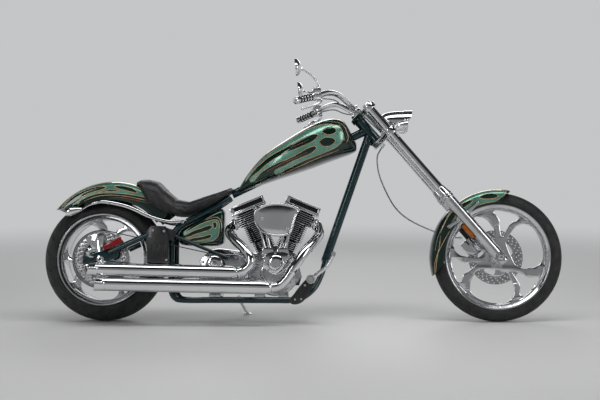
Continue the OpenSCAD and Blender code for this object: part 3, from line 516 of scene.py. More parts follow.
add_piece("front_tyre_cover", tyre(342, 52, 56, 281, 36, 8), tyre_rubber, "front_wheel",
    ["front_tyre"], parked @ front_axle_at, crease=28)
add_piece("rear_tyre_cover", tyre(324, 125, 150, 243, 108, 9), tyre_rubber, "rear_wheel",
    ["rear_tyre"], parked @ rear_axle_at, crease=28)


# ---------- Brake discs, belt drive and axles ----------
# Ground steel discs drilled in three spiral rows, riveted to cast carriers. The rear
# disc sits inside the belt pulley's rim. Axles are chromed steel with domed caps.
brake_steel = surface_finish("brake_steel", (0.42, 0.42, 0.43), (0.56, 0.56, 0.57), grain=40,
    rough=(0.22, 0.34), metal=1.0, bump=0.12, stretch=(1, 0.2, 1))
belt_rubber = surface_finish("belt_rubber", (0.012, 0.012, 0.012), (0.03, 0.03, 0.03), grain=60,
    rough=(0.6, 0.8), bump=0.5, stretch=(6, 0.3, 6))
chrome = surface_finish("chrome", (0.74, 0.75, 0.77), (0.86, 0.87, 0.88), grain=6,
    rough=(0.045, 0.1), metal=1.0, bump=0.015)
polished_alloy = surface_finish("polished_alloy", (0.5, 0.51, 0.53), (0.68, 0.69, 0.7), grain=16,
    rough=(0.12, 0.24), metal=1.0, bump=0.06)
black_coat = surface_finish("black_coat", (0.01, 0.01, 0.011), (0.022, 0.022, 0.024), grain=30,
    rough=(0.28, 0.42), bump=0.25, fine=12, coat=0.25)


def drilled_disc(outer, inner, thick, per_row=28):
    drawing = [circle(outer, 96), circle(inner, 72)]
    for row, share in enumerate((0.2, 0.5, 0.8)):
        r = inner + share * (outer - inner)
        for i in range(per_row):
            a = (i + row * 0.36) * math.tau / per_row
            drawing.append(circle(3.6, 8, r * math.cos(a), r * math.sin(a)))
    return flat_plate(drawing, thick, 0.5, smooth=False)


def bolt_head(at, radius, high, towards=(0, -1, 0)):
    at = Vector(at)
    tip = at + Vector(towards).normalized() * high
    return moved(turned([(0, 0), (radius, 0), (radius, high * 0.6), (radius * 0.8, high),
        (radius * 0.45, high), (radius * 0.4, high * 0.45), (0, high * 0.45)], 16), aimed(at, tip))


def bolts(spots, y, radius, high, towards=(0, -1, 0)):
    return [bolt_head((x, y, z), radius, high, towards) for x, z in spots]


def five_windows(shape):
    """The outline of one window, as (radius, degrees), repeated round the hub."""
    return [[polar(r, a + 72 * k) for r, a in shape] for k in range(5)]


to_left = (0, 1, 0)
add_piece("front_disc_ring", moved(drilled_disc(146, 104, 5), shifted(0, 67.5, 0)), brake_steel,
    "front_wheel", ["front_disc"], parked @ front_axle_at)
carrier_windows = five_windows(((92, 12), (95, 30), (92, 48), (66, 52), (48, 40), (46, 24),
    (60, 8)))
rivets = bolts(circle(100, 10), 70.2, 5, 1.8, to_left)
carrier = joined(flat_plate([circle(106, 72), circle(20, 32)] + carrier_windows, 3.6, 0.8, 69.8),
    *rivets)
add_piece("front_disc_carrier", carrier, wheel_alloy, "front_wheel", place=parked @ front_axle_at)

pulley_wall = turned([(148, -162), (148, -110), (146, -110), (48, -110), (48, -96), (10.05, -96),
    (10.05, -162), (46, -162), (48, -160), (48, -118), (142, -118), (142, -160), (144, -162)], 96)
windows = five_windows(((126, 20), (130, 36), (126, 52), (72, 50), (66, 36), (72, 22)))
spider = flat_plate([circle(143, 72), circle(46, 48)] + windows, 6, 1.5, -122)
add_piece("belt_pulley", joined(moved(pulley_wall, quarter_turn), spider), wheel_alloy,
    "rear_wheel", ["rear_pulley"], parked @ rear_axle_at)
add_piece("rear_disc_ring", moved(drilled_disc(142.5, 100, 5), shifted(0, -150, 0)), brake_steel,
    "rear_wheel", place=parked @ rear_axle_at)


def strap(x1, z1, r1, x2, z2, r2, first=24, second=24):
    """The outline of a strap round two circles, with a number of points on each."""
    along = math.atan2(z2 - z1, x2 - x1)
    half = math.acos((r1 - r2) / math.hypot(x2 - x1, z2 - z1))
    turns = [along + half + (math.tau - 2 * half) * i / (first - 1) for i in range(first)]
    backs = [along - half + 2 * half * i / (second - 1) for i in range(second)]
    return ([(x1 + r1 * math.cos(a), z1 + r1 * math.sin(a)) for a in turns]
        + [(x2 + r2 * math.cos(a), z2 + r2 * math.sin(a)) for a in backs])


belt_thick = 4.9
belt = flat_plate([strap(0, 324, 153.3 - inner, 590, 300, 52.3 - inner, 40, 20)
    for inner in (0, belt_thick)], 24, 0.8, -150, smooth=False)
add_piece("toothed_belt", belt, belt_rubber, "chassis", ["drive_belt"])


def cad_piece(name, node, width, finish, body, extra=()):
    """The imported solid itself, its triangles merged into faces and its edges broken."""
    bm = bmesh.new()
    bm.from_mesh(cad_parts[node].data)
    bmesh.ops.remove_doubles(bm, verts=bm.verts, dist=0.00002)
    bmesh.ops.dissolve_limit(bm, angle_limit=math.radians(0.6), verts=bm.verts, edges=bm.edges)
    softened(bm, width * 0.001, 2, 30)
    if extra:
        bm = joined(bm, *[moved(piece, parked) for piece in extra])
    return add_piece(name, bm, finish, body, [node], Matrix())


cad_piece("rear_axle_shaft", "rear_axle", 0.8, chrome, "chassis")
cad_piece("front_axle_shaft", "front_axle", 0.8, chrome, "fork")


# ---------- Swingarm, its housings and the rear caliper ----------
# Two tubular triangles of teal steel carry the wheel and pivot on a cross tube. Black
# blocks cover their upper ends, and a red reflector is screwed to the right arm.
arm = softened(flat_plate([[polar(26, d, -62, -4) for d in range(98, 271, 12)]
    + [polar(30, d, 62, 30) for d in range(-62, 104, 12)]], 16, 2, smooth=False), 0.2, 1, 80)
arm = moved(arm, shifted(0, 182, 324))
arm_tubes = [rod((40, 182, 358), (248, 182, 454), 15), rod((30, 182, 302), (392, 182, 271), 15),
    moved(turned([(0, 168), (24, 168), (25, 170), (25, 194), (24, 196), (0, 196)]),
    shifted(406, 0, 270) @ quarter_turn), *bolts(((-84, 320), (84, 360)), 190, 7, 5, to_left)]
arm = both_sides(joined(arm, *arm_tubes))
add_piece("swingarm_tubes", joined(arm, rod((406, -182, 270), (406, 182, 270), 18)), frame_paint,
    "chassis", ["swingarm"])

housing = flat_plate([[(242, 304), (356, 304), (356, 420), (338, 496), (262, 500), (236, 470)]],
    26, 5, 181, smooth=False)
bridge = flat_plate([[(318, 432), (378, 420), (378, 476), (330, 494)]], 48, 2, 144, smooth=False)
ribs = [flat_plate([[(252 + 9 * k, 322), (256 + 9 * k, 322), (256 + 9 * k, 400),
    (252 + 9 * k, 400)]], 4, 1, 194.5, smooth=False) for k in range(11)]
add_piece("swingarm_blocks", both_sides(joined(housing, bridge, *ribs)), black_coat, "chassis",
    ["swingarm_housings"])
housing_bolts = bolts(((272, 474), (330, 470), (344, 320)), 194, 8, 6, to_left)
add_piece("housing_bolts", both_sides(joined(*housing_bolts)), chrome, "chassis")

red_lens = surface_finish("red_lens", (0.15, 0.001, 0.004), (0.27, 0.003, 0.009), grain=90,
    rough=(0.1, 0.24), bump=0.4, fine=2, coat=0.4, specular=0.3)
reflector = moved(softened(flat_plate([[(-54, -14), (46, -16), (56, 15), (-46, 15)]], 9, 2,
    smooth=False), 0.5, 1, 80), shifted(62, -197, 404) @ swung(-24.8, "Y"))
add_piece("rear_reflector", reflector, red_lens, "chassis")

caliper_bolts = bolts([polar(104, d, 0, 324) for d in (96, 116)], -171, 8, 5)
cad_piece("rear_brake_caliper", "rear_caliper", 2.5, chrome, "chassis", caliper_bolts)


# ---------- Engine ----------
# A big air-cooled V-twin. Polished cases, black cylinders with machined fin edges,
# chromed rocker boxes and pushrod tubes, and covers held by dome-headed screws.
crank = Vector((905, 0, 256))
bank_angle = math.radians(22.5)
banks = {side: Matrix.Translation(crank) @ Matrix.Rotation(side * bank_angle, 4, "Y")
    for side in (1, -1)}
cad_piece("engine_cases", "crankcase", 3, polished_alloy, "chassis",
    bolts(((784, 206), (784, 300), (1018, 206), (1022, 262), (810, 206), (860, 206), (930, 206),
    (985, 206)), -78, 6, 5) + [moved(turned([(0, 0), (80, 0), (80, 3), (66, 9), (62, 9), (58, 5),
    (0, 5)], 64), shifted(*crank) @ shifted(0, -78, 0) @ swung(90, "X"))])
cam = flat_plate([[(846, 344), (834, 300), (868, 262), (905, 244), (950, 262), (1000, 318),
    (986, 352), (905, 366)]], 38, 6, -97)
cam_dome = moved(turned([(0, 0), (44, 0), (44, 3), (38, 8), (24, 10), (22, 8), (0, 8)], 48),
    shifted(910, -116, 304) @ swung(90, "X"))
lifters = [softened(flat_plate([[(x - 34, 350), (x + 34, 350), (x + 26, 386), (x - 26, 386)]], 24,
    2, -90, smooth=False), 0.3, 1, 80) for x in (868, 946)]
cam_screws = bolts(((852, 338), (845, 304), (872, 270), (950, 272), (988, 320), (978, 346),
    (906, 358)), -116, 6, 5)
add_piece("cam_chest_cover", joined(cam, cam_dome, *lifters, *cam_screws), chrome, "chassis",
    ["cam_cover"])

primary = flat_plate([strap(905, 256, 92, 600, 276, 112)], 62, 9, 109, smooth=False)
primary_face = flat_plate([strap(905, 256, 66, 600, 276, 84)], 6, 2.5, 141, smooth=False)
derby = moved(turned([(0, 0), (62, 0), (62, 3), (54, 7), (20, 8), (0, 8)], 48),
    shifted(612, 143, 276) @ quarter_turn)
primary_screws = bolts([(905 + 80 * math.cos(a), 256 + 80 * math.sin(a))
    for a in (-1.3, -0.4, 0.5, 1.4)] + [(600 + 99 * math.cos(a), 276 + 99 * math.sin(a))
    for a in (1.7, 2.6, 3.5, 4.4)] + [(760, 362), (752, 178)], 139, 6, 5, to_left)
add_piece("primary_case", joined(primary, primary_face, derby, *primary_screws), chrome, "chassis",
    ["primary_cover"])

gear_cover = flat_plate([[(700, 216), (760, 216), (760, 322), (704, 342), (560, 342), (520, 318),
    (520, 216)]], 6, 2, -114, smooth=False)
gear_screws = bolts(((528, 224), (528, 312), (566, 334), (640, 334), (700, 334), (752, 316),
    (752, 224), (640, 224)), -117, 6, 5)
cad_piece("gearbox_case", "gearbox", 3, polished_alloy, "chassis", [gear_cover] + gear_screws)
pulley_cap = moved(turned([(0, 0), (42, 0), (42, 3), (36, 7), (16, 8), (14, 5), (0, 5)], 48),
    shifted(590, -162, 300) @ swung(90, "X"))
add_piece("drive_pulley_cap", pulley_cap, chrome, "chassis")

black_fins = surface_finish("black_fins", (0.003, 0.003, 0.0035), (0.009, 0.009, 0.01), grain=40,
    rough=(0.5, 0.65), bump=0.3, fine=10, specular=0.2)


def block(x0, y0, z0, x1, y1, z1, edge=2.0):
    bm = bmesh.new()
    bmesh.ops.create_cube(bm, size=1)
    bmesh.ops.scale(bm, vec=(x1 - x0, y1 - y0, z1 - z0), verts=bm.verts)
    bmesh.ops.translate(bm, vec=((x0 + x1) / 2, (y0 + y1) / 2, (z0 + z1) / 2), verts=bm.verts)
    return softened(bm, edge, 2) if edge else bm


fin_thick = 3.4
fin_heights = [197 + 10.4 * k for k in range(10)]
skirt_fins = [142 + 9.6 * k for k in range(5)]


def fins(root, tip, heights):
    return [point for z in heights for point in ((root, z), (tip, z + 0.4),
        (tip, z + fin_thick - 0.4), (root, z + fin_thick))]


barrel_profile = [(0, 134), (44, 134), *fins(44, 56, skirt_fins), (44, 192), (52, 192),
    *fins(52, 68, fin_heights), (52, 293), (0, 293)]
head_fins = [294 + 10.6 * k for k in range(6)]
for side, node in ((1, "front_cylinder"), (-1, "rear_cylinder")):
    bank = banks[side]
    head = [block(-66, -52, 292.2, 66, 52, 358, 3)]
    head += [block(-79, -64, z, 79, 64, z + fin_thick, 1) for z in head_fins]
    add_piece(node + "_fins", moved(joined(turned(barrel_profile, 64), *head), bank), black_fins,
        "chassis", [node])
    edges = [turned([(r + 0.1, z + 0.2), (r + 1.2, z + 0.4), (r + 1.2, z + fin_thick - 0.4),
        (r + 0.1, z + fin_thick - 0.2)], 64)
        for r, heights in ((68, fin_heights), (56, skirt_fins)) for z in heights]
    edges += [joined(*[block(-77, s * 64.4 - 0.6, z + 0.2, 77, s * 64.4 + 0.6, z + fin_thick - 0.2,
        0.3) for s in (-1, 1)]) for z in head_fins]
    edges.append(joined(*[bolt_head((x, y, 192), 7, -12, (0, 0, -1)) for x, y in ((44, 34),
        (-44, 34), (44, -34), (-44, -34))]))
    add_piece(node + "_fin_edges", moved(joined(*edges), bank), polished_alloy, "chassis")

rocker_parts, rocker_insets = [], []
for bank in banks.values():
    frame_bars = [(-95, 368, 95, 375), (-95, 396, 95, 404), (-95, 368, -74, 404),
        (85, 368, 95, 404)]
    cover = joined(block(-98, -100, 358.2, 98, 80, 368.5, 2.5),
        block(-93, -92, 368, 93, 77, 402, 3), *[block(x0, -98.5, z0, x1, -91, z1, 1.6)
        for x0, z0, x1, z1 in frame_bars], *[bolt_head((x, y, 401), 6.5, 4, (0, 0, 1))
        for x in (-80, 0, 80) for y in (-82, 62)], *bolts([(x, 363) for x in (-86, -30, 30, 86)],
        -100, 4, 3))
    rocker_parts.append(moved(cover, bank))
    inset = joined(block(-75, -94, 374, 86, -91, 397, 0.5),
        block(-70, -70, 400.5, 70, 50, 403.2, 0.6))
    rocker_insets.append(moved(inset, bank))
    rocker_parts.append(moved(joined(*[block(-64, -66 + 14 * k, 402, 64, -61 + 14 * k, 405.5, 1)
        for k in range(9)]), bank))
add_piece("rocker_covers", joined(*rocker_parts), chrome, "chassis", ["rocker_boxes"])
add_piece("rocker_insets", joined(*rocker_insets), black_fins, "chassis")

tubes = []
for side in (1, -1):
    bank = banks[side]
    head_face = bank @ Vector((0, 0, 358))
    out = bank.to_3x3() @ Vector((0, 0, 1))
    for k in (0, 1):
        low = Vector((905 + side * (26 + 26 * k), -90, 376))
        high = crank + Vector((side * (86 + 34 * k), -90, 390))
        way = (high - low).normalized()
        foot = low + way * ((386 - low.z) / way.z)
        top = foot + way * ((head_face - foot).dot(out) / way.dot(out))
        length = (top - foot).length
        tubes.append(moved(turned([(0, 0), (12, 0), (12, 6), (8.5, 8), (8.5, length * 0.52),
            (10, length * 0.54), (10, length * 0.62), (8.5, length * 0.64), (8.5, length - 12),
            (12, length - 10), (12, length - 1.5), (0, length - 1.5)], 32), aimed(foot, top)))
add_piece("pushrod_covers", joined(*tubes), chrome, "chassis", ["pushrod_tubes"])

cad_piece("carburettor_body", "carburettor", 2, polished_alloy, "chassis",
    bolts(((925, 608), (885, 608)), -104, 5, 4))


def lofted(rings):
    bm = bmesh.new()
    loops = []
    for ring in rings:
        verts = [bm.verts.new(p) for p in ring]
        loops.append([bm.edges.new(pair) for pair in zip(verts, verts[1:] + verts[:1])])
        if ring is rings[0] or ring is rings[-1]:
            bm.faces.new(verts)
    for one, other in zip(loops, loops[1:]):
        bmesh.ops.bridge_loops(bm, edges=one + other)
    bmesh.ops.recalc_face_normals(bm, faces=bm.faces)
    return bm


filter_case = flat_plate([[(912 + 86 * c, 530 + 68 * up) for c, up in circle(1, 24)]], 28, 3, -118)
# The cover's outline about its middle, and its dome as (share of the outline, height)
shield = [(-116, 44), (-92, 66), (-54, 82), (-4, 88), (56, 82), (118, 58), (106, 30), (92, -6),
    (84, -42), (68, -72), (20, -83), (-36, -78), (-86, -54), (-112, -12)]
dome = [(0.98, 0), (1.02, 2.5), (1.03, 12), (1.02, 15.5), (0.995, 18), (0.96, 18.5), (0.93, 16.8),
    (0.905, 15.6), (0.87, 16.2), (0.75, 18.4), (0.55, 20.8), (0.3, 22.4), (0.08, 23)]
smooth_shield = flat_plate([shield], 2, 0)
rim = [v.co for v in smooth_shield.verts if v.co.y > 0]
rim = sorted(((p.x, p.z) for p in rim), key=lambda p: math.atan2(p[1], p[0]))
smooth_shield.free()
cover = lofted([[(915 + x * share, -131 - high, 531 + z * share) for x, z in rim]
    for share, high in dome])
screw = turned([(0, 0), (6.5, 0), (7, 1), (7, 3.4), (6, 4.4), (3.6, 4.4), (3.2, 1.5), (0, 1.5)],
    24)
cover_screws = [copied(screw, shifted(915 + x, -149, 531 + z) @ quarter_turn.inverted())
    for x, z in ((-76, 6), (58, -46))]
screw.free()
add_piece("air_cleaner_cover", joined(filter_case, cover, *cover_screws), chrome, "chassis",
    ["air_cleaner"], crease=50)


# ---------- Exhausts ----------
# Two chromed pipes sweep out of the heads into long slash-cut mufflers, one above the
# other, each header ringed by worm-drive clamps.
burnt_steel = surface_finish("burnt_steel", (0.03, 0.028, 0.025), (0.09, 0.085, 0.08), grain=30,
    rough=(0.5, 0.7), metal=0.6)


def port_point(side, off, y):
    a = bank_angle
    return crank + Vector((side * (318 * math.sin(a) + (79 + off) * math.cos(a)), y,
        318 * math.cos(a) - (79 + off) * math.sin(a)))


def exhaust(name, back, front, z_back, z_front, radius, route, clamp_at):
    a, b = Vector((back, -240, z_back)), Vector((front, -240, z_front))
    length = (b - a).length
    can = moved(turned([(radius - 7, 0), (radius - 1.2, 0), (radius, 1.5), (radius, 54),
        (radius - 1.6, 56), (radius - 1.6, 59), (radius, 61), (radius, length - 60),
        (radius - 1, length - 34), (26, length - 1), (25, length), (0, length), (0, 121),
        (radius - 8, 120)], 56), aimed(a, b))
    # the mouth is cut on a slant
    for v in can.verts:
        if v.co.x < back + 30:
            v.co.x += (v.co.z - z_back + radius) * 0.22
    header = bent_tube(route, 25, sides=6, steps=8)
    bands = []
    for i, along in clamp_at:
        at = Vector(route[i]).lerp(Vector(route[i + 1]), along)
        way = (Vector(route[i + 1]) - Vector(route[i])).normalized()
        bands.append(moved(turned([(24.6, -5), (26.4, -5), (26.8, -3), (26.8, 3), (26.4, 5),
            (24.6, 5)], 40), aimed(at, at + way)))
        bands.append(block(at.x - 5, at.y - 31, at.z - 7, at.x + 5, at.y - 25, at.z + 7, 1))
    flange = aimed(route[-1], Vector(route[-1]) * 2 - Vector(route[-2]))
    collar = moved(turned([(24, -34), (31, -34), (33, -31), (33, -24), (31, -21), (24, -21)], 40),
        flange)
    add_piece(name + "_pipe", joined(can, header, collar, *bands), chrome, "chassis", [name])
    core = moved(turned([(0, 0), (radius - 9, 0), (radius - 9, 3), (0, 3)], 40),
        aimed(a + Vector((117, 0, 0)), b))
    add_piece(name + "_baffle", core, burnt_steel, "chassis")


exhaust("rear_exhaust", -60, 716, 273, 255, 34, [(716, -240, 255), (752, -240, 267),
    (780, -240, 298), (778, -232, 338), (742, -202, 384), (690, -156, 432), (664, -96, 474),
    port_point(-1, 30, -38), port_point(-1, -4, -30)], [(3, 0.5), (5, 0.4)])
exhaust("front_exhaust", -24, 892, 197, 179, 36, [(892, -240, 179), (930, -240, 187),
    (968, -240, 222), (1020, -232, 300), (1066, -206, 366), (1108, -158, 414), (1138, -98, 458),
    port_point(1, 32, -40), port_point(1, -4, -30)], [(2, 0.5), (4, 0.4), (5, 0.7)])


# ---------- Fuel tank ----------
# A long pressed-steel teardrop over the backbone, in deep green-black lacquer that
# turns wine red in places, under thick clear coat. The filler cap is knurled and chromed.
body_paint = surface_finish("body_paint", (0.0015, 0.012, 0.009), (0.003, 0.028, 0.019), grain=5,
    rough=(0.16, 0.26), metal=0.35, bump=0.03, fine=60, coat=1.0, specular=0.1)
wine = body_paint.node_tree.nodes["shades"].color_ramp.elements.new(0.86)
wine.color = (0.03, 0.002, 0.005, 1)


def oval(x, half_w, low, high, square=2.0, count=32):
    ring = []
    for j in range(count):
        c, s = math.cos(math.tau * j / count), math.sin(math.tau * j / count)
        ring.append((x, half_w * math.copysign(abs(c) ** (2 / square), c), (low + high) / 2
            + (high - low) / 2 * math.copysign(abs(s) ** (2 / square), s)))
    return ring


def rounded(piece, levels=1):
    shape = piece.modifiers.new("rounding", "SUBSURF")
    shape.levels = shape.render_levels = levels
    return piece


tank_stations = [(704, 0.18, 684, 701), (716, 0.26, 682, 722), (740, 0.37, 690, 764),
    (770, 0.48, 702, 806), (812, 0.62, 718, 858), (870, 0.78, 738, 912), (940, 0.91, 762, 956),
    (1020, 0.98, 788, 1008), (1100, 1.0, 814, 1052), (1160, 1.0, 838, 1076),
    (1210, 0.95, 856, 1084), (1250, 0.86, 870, 1081), (1276, 0.76, 879, 1064),
    (1300, 0.62, 888, 1024), (1322, 0.46, 898, 980), (1340, 0.24, 908, 946)]
tank = rounded(add_piece("fuel_tank_shell", lofted([oval(x, 150 * share, low, high, 2.5)
    for x, share, low, high in tank_stations]), body_paint, "chassis", ["fuel_tank"], crease=60))
cap_place = shifted(1106, 0, 1048.3) @ swung(-24, "Y")
cap = moved(turned([(0, 0), (31, 0), (31, 3), (29, 4), (29, 12), (27, 14), (24, 15.5), (20, 19),
    (12, 20), (0, 20)], 40), cap_place)
knurl = [moved(block(28.4, -1.2, 4.5, 30.4, 1.2, 12, 0.5),
    cap_place @ Matrix.Rotation(i * math.tau / 36, 4, "Z")) for i in range(36)]
add_piece("filler_cap", joined(cap, *knurl), chrome, "chassis", ["fuel_cap"])


# ---------- Fenders and oil tank ----------
# Deep-skirted fenders pressed from steel sheet with rolled edges, and a boxy oil tank
# with soft corners tucked behind the rear cylinder, all in the tank's lacquer.
def fender_section(half_w, radius, drop, depth):
    side = [(half_w * 0.24, radius - drop * 0.04), (half_w * 0.5, radius - drop * 0.16),
        (half_w * 0.68, radius - drop * 0.34), (half_w * 0.82, radius - drop * 0.56),
        (half_w * 0.93, radius - drop * 0.86), (half_w * 0.985, radius - drop * 1.15),
        (half_w, radius - drop * 1.45), (half_w, radius - depth * 0.8),
        (half_w - 1.5, radius - depth + 3), (half_w - 5, radius - depth)]
    return [(-y, r) for y, r in reversed(side)] + [(0, radius)] + side


def fender_skin(section, arc, steps):
    bm = bmesh.new()
    low, high = (math.radians(a) for a in arc)
    verts = [bm.verts.new((r * math.cos(low), y, r * math.sin(low))) for y, r in section]
    edges = [bm.edges.new(pair) for pair in zip(verts, verts[1:])]
    bmesh.ops.spin(bm, geom=verts + edges, cent=(0, 0, 0), axis=(0, -1, 0), dvec=(0, 0, 0),
        angle=high - low, steps=steps, use_merge=False)
    bmesh.ops.remove_doubles(bm, verts=bm.verts, dist=0.01)
    return bm


def cut_corner(bm, corner, lines):
    """Removes the faces inside both planes, each given as a direction that points into the cut."""
    for way in lines:
        bmesh.ops.bisect_plane(bm, geom=bm.verts[:] + bm.edges[:] + bm.faces[:], plane_co=corner,
            plane_no=way, dist=0.001)
    gone = [f for f in bm.faces if all((f.calc_center_median() - Vector(corner)).dot(way) > 0
        for way in lines)]
    bmesh.ops.delete(bm, geom=gone, context="FACES")
    return bm


def walled(bm, thick):
    bmesh.ops.recalc_face_normals(bm, faces=bm.faces)
    if sum(f.normal.dot(f.calc_center_median()) for f in bm.faces) < 0:
        bmesh.ops.reverse_faces(bm, faces=bm.faces)
    bmesh.ops.solidify(bm, geom=bm.faces[:], thickness=thick)
    return bm


rear_middle, front_middle = (52, 348), (wheelbase, front_axle_height)
rear_skin = fender_skin(fender_section(140, 396, 26, 110), (36, 142), 72)
cut_corner(rear_skin, (-149, 0, 272), [Vector((-1, 0, 0)), Vector((64, 0, -281)).normalized()])
rear_fender = add_piece("rear_fender_shell", walled(rear_skin, 3), body_paint, "chassis",
    ["rear_fender"], parked @ shifted(rear_middle[0], 0, rear_middle[1]), crease=50)

front_skin = fender_skin(fender_section(69, 362, 24, 78), (79, 205), 84)
cut_corner(front_skin, (-2, 0, 276), [Vector((77, 0, -70)).normalized()])
front_fender = add_piece("front_fender_shell", walled(front_skin, 3), body_paint, "fork",
    ["front_fender"], parked @ front_axle_at, crease=50)

oil_shape = lofted([oval(x, w, low, high, square)
    for x, w, low, high, square in ((394, 90, 420, 470, 4), (406, 104, 400, 486, 5),
    (440, 108, 396, 506, 5), (520, 108, 394, 548, 5), (590, 104, 396, 588, 5),
    (624, 98, 400, 600, 5), (640, 86, 412, 590, 4))])
oil_tank = rounded(add_piece("oil_tank_shell", oil_shape, body_paint, "chassis", ["oil_tank"],
    crease=60))

strut_route = [(-104, 155.8, 588), (-60, 147.8, 613), (10, 145.8, 625), (128, 145.8, 601),
    (232, 145.8, 555), (292, 145.8, 533), (348, 143.8, 522), (400, 135.8, 524), (438, 129, 532)]
strut_bar = bent_tube(strut_route, [4.5, 6, 9, 9.5, 9.5, 9.5, 9.5, 9, 5], sides=6, steps=8)
flatness = 0.58
for vert in strut_bar.verts:
    line = min(range(len(strut_route) - 1), key=lambda i: abs(vert.co.x - (strut_route[i][0]
        + strut_route[i + 1][0]) / 2))
    (x1, y1, _), (x2, y2, _) = strut_route[line], strut_route[line + 1]
    middle = y1 + (y2 - y1) * min(1, max(0, (vert.co.x - x1) / (x2 - x1)))
    vert.co.y = middle + (vert.co.y - middle) * flatness
strut = joined(strut_bar, *[moved(turned([(0, -2.8), (8, -2.8), (9, -1), (9, 2), (7, 4), (0, 4)],
    24), shifted(x, 146.5, z) @ quarter_turn) for x, z in ((34, 620), (420, 520))])
add_piece("strut_pair", both_sides(strut), chrome, "chassis", ["fender_struts"])


# ---------- Painted flames ----------
# Mint flames with teardrop eyes, masked and sprayed over the lacquer and edged by hand
# with a tan pinstripe. Each shape is drawn flat, then laid on the panel it belongs to.
flame_paint = surface_finish("flame_paint", (0.05, 0.19, 0.13), (0.2, 0.46, 0.36), grain=7,
    rough=(0.2, 0.3), metal=0.5, bump=0.03, fine=50, coat=1.0)
pinstripe_paint = surface_finish("pinstripe_paint", (0.42, 0.24, 0.1), (0.62, 0.44, 0.26),
    grain=40, rough=(0.3, 0.4), coat=0.8)
wine_line_paint = surface_finish("wine_line_paint", (0.35, 0.05, 0.04), (0.5, 0.14, 0.06),
    grain=30, rough=(0.3, 0.4), coat=0.8)


def laid_on(bm, panel, side, lift, height=0.0):
    """Drops a flat drawing in (x, z) onto a panel's outer skin, seen from one side."""
    scene_now = bpy.context.evaluated_depsgraph_get()
    skin = BVHTree.FromObject(panel, scene_now)
    inward = (parked.to_3x3() @ Vector((0, -side, 0))).normalized()
    for v in bm.verts:
        proud = v.co.y
        start = parked @ Vector((v.co.x, side * 420, v.co.z))
        spot, normal, _, _ = skin.ray_cast(start, inward)
        if spot is None:
            middle = parked @ Vector((v.co.x, side * 60, v.co.z))
            spot, normal, _, _ = skin.find_nearest(middle)
        if normal.dot(inward) > 0:
            normal = -normal
        v.co = spot + normal * (lift + height * proud) * 0.001
    return bm


def flame_shape(outlines, grid):
    bm = flat_plate(outlines, 0, 0)
    xs = [v.co.x for v in bm.verts]
    zs = [v.co.z for v in bm.verts]
    for low, high, way in ((min(xs), max(xs), Vector((1, 0, 0))),
            (min(zs), max(zs), Vector((0, 0, 1)))):
        for i in range(1, int((high - low) / grid) + 1):
            bmesh.ops.bisect_plane(bm, geom=bm.verts[:] + bm.edges[:] + bm.faces[:],
                plane_co=way * (low + i * grid), plane_no=way, dist=0.01)
    return bm


def stripe(points, closed, width=1.5):
    route = [(x, 0, z) for x, z in points]
    return bent_tube(route + route[:1] if closed else route, [width] * (len(route) + 1) if closed
        else [width * 0.5] + [width] * (len(route) - 2) + [width * 0.4], sides=1, steps=5)


paint_lift, line_height = 0.5, 0.3


def paint_flames(name, panel, body, placed, flames, curls, embers, grid):
    for side, where in ((-1, "_right"), (1, "_left")):
        outlines = [placed(line) for line in flames]
        fills = [laid_on(flame_shape(outlines, grid), panel, side, paint_lift)]
        stripes = [laid_on(stripe(line, True), panel, side, paint_lift, line_height)
            for line in outlines]
        stripes += [laid_on(stripe(placed(line), False), panel, side, paint_lift, line_height)
            for line in curls]
        reds = [laid_on(stripe(placed(line), False, 1.2), panel, side, paint_lift, line_height)
            for line in embers]
        for part, bms, paint in (("_flames", fills, flame_paint),
                ("_pinstripe", stripes, pinstripe_paint), ("_wine_lines", reds, wine_line_paint)):
            if not bms:
                continue
            bm = joined(*bms)
            if part == "_flames":
                outward = parked.to_3x3() @ Vector((0, side, 0))
                bmesh.ops.reverse_faces(bm, faces=[f for f in bm.faces
                    if f.normal.dot(outward) < 0])
            add_piece(name + part + where, bm, paint, body, place=Matrix(), crease=80)


def between(stations, x):
    """Bottom and top of a panel at x, from its stations (x, low, high)."""
    for (x1, low1, high1), (x2, low2, high2) in zip(stations, stations[1:]):
        if x1 <= x <= x2:
            t = (x - x1) / (x2 - x1)
            return low1 + t * (low2 - low1), high1 + t * (high2 - high1)


def up_panel(stations, drawing):
    """Each point is x and its share of the height, from -1 at the bottom to 1 at the top."""
    spots = []
    for x, v in drawing:
        low, high = between(stations, x)
        spots.append((x, low + (v + 1) / 2 * (high - low)))
    return spots


def round_wheel(cx, cz, drawing):
    """Each point is degrees up from dead ahead and a radius, about the fender's centre."""
    return [polar(r, a, cx, cz) for a, r in drawing]


tank_sides = [(x, low, high) for x, _, low, high in tank_stations]
tank_flame = [[(1256, -0.3), (1262, 0.1), (1246, 0.46), (1180, 0.66), (1090, 0.76), (990, 0.76),
    (890, 0.7), (810, 0.6), (744, 0.3), (806, 0.42), (880, 0.46), (960, 0.44), (1040, 0.46),
    (1108, 0.4), (1132, 0.24), (1104, 0.1), (1040, 0.08), (960, 0.16), (890, 0.14), (830, 0.02),
    (770, -0.3), (840, -0.2), (910, -0.16), (980, -0.22), (1044, -0.16), (1096, -0.12),
    (1124, -0.24), (1100, -0.4), (1040, -0.42), (970, -0.46), (900, -0.66), (980, -0.68),
    (1060, -0.6), (1150, -0.6), (1220, -0.52)], [(1150, 0.36), (1170, 0.5), (1206, 0.46),
    (1228, 0.3), (1214, 0.14), (1178, 0.16)], [(1136, -0.02), (1166, 0.06), (1206, -0.04),
    (1222, -0.22), (1192, -0.38), (1152, -0.26)]]
tank_curls = [[(1282, -0.3), (1290, 0.2), (1252, 0.66), (1150, 0.86)],
    [(1240, -0.66), (1120, -0.72), (1000, -0.8), (930, -0.86)]]
tank_embers = [[(1084, 0.26), (1040, 0.24), (990, 0.28)], [(1076, -0.28), (1010, -0.32),
    (940, -0.3), (860, -0.36)]]
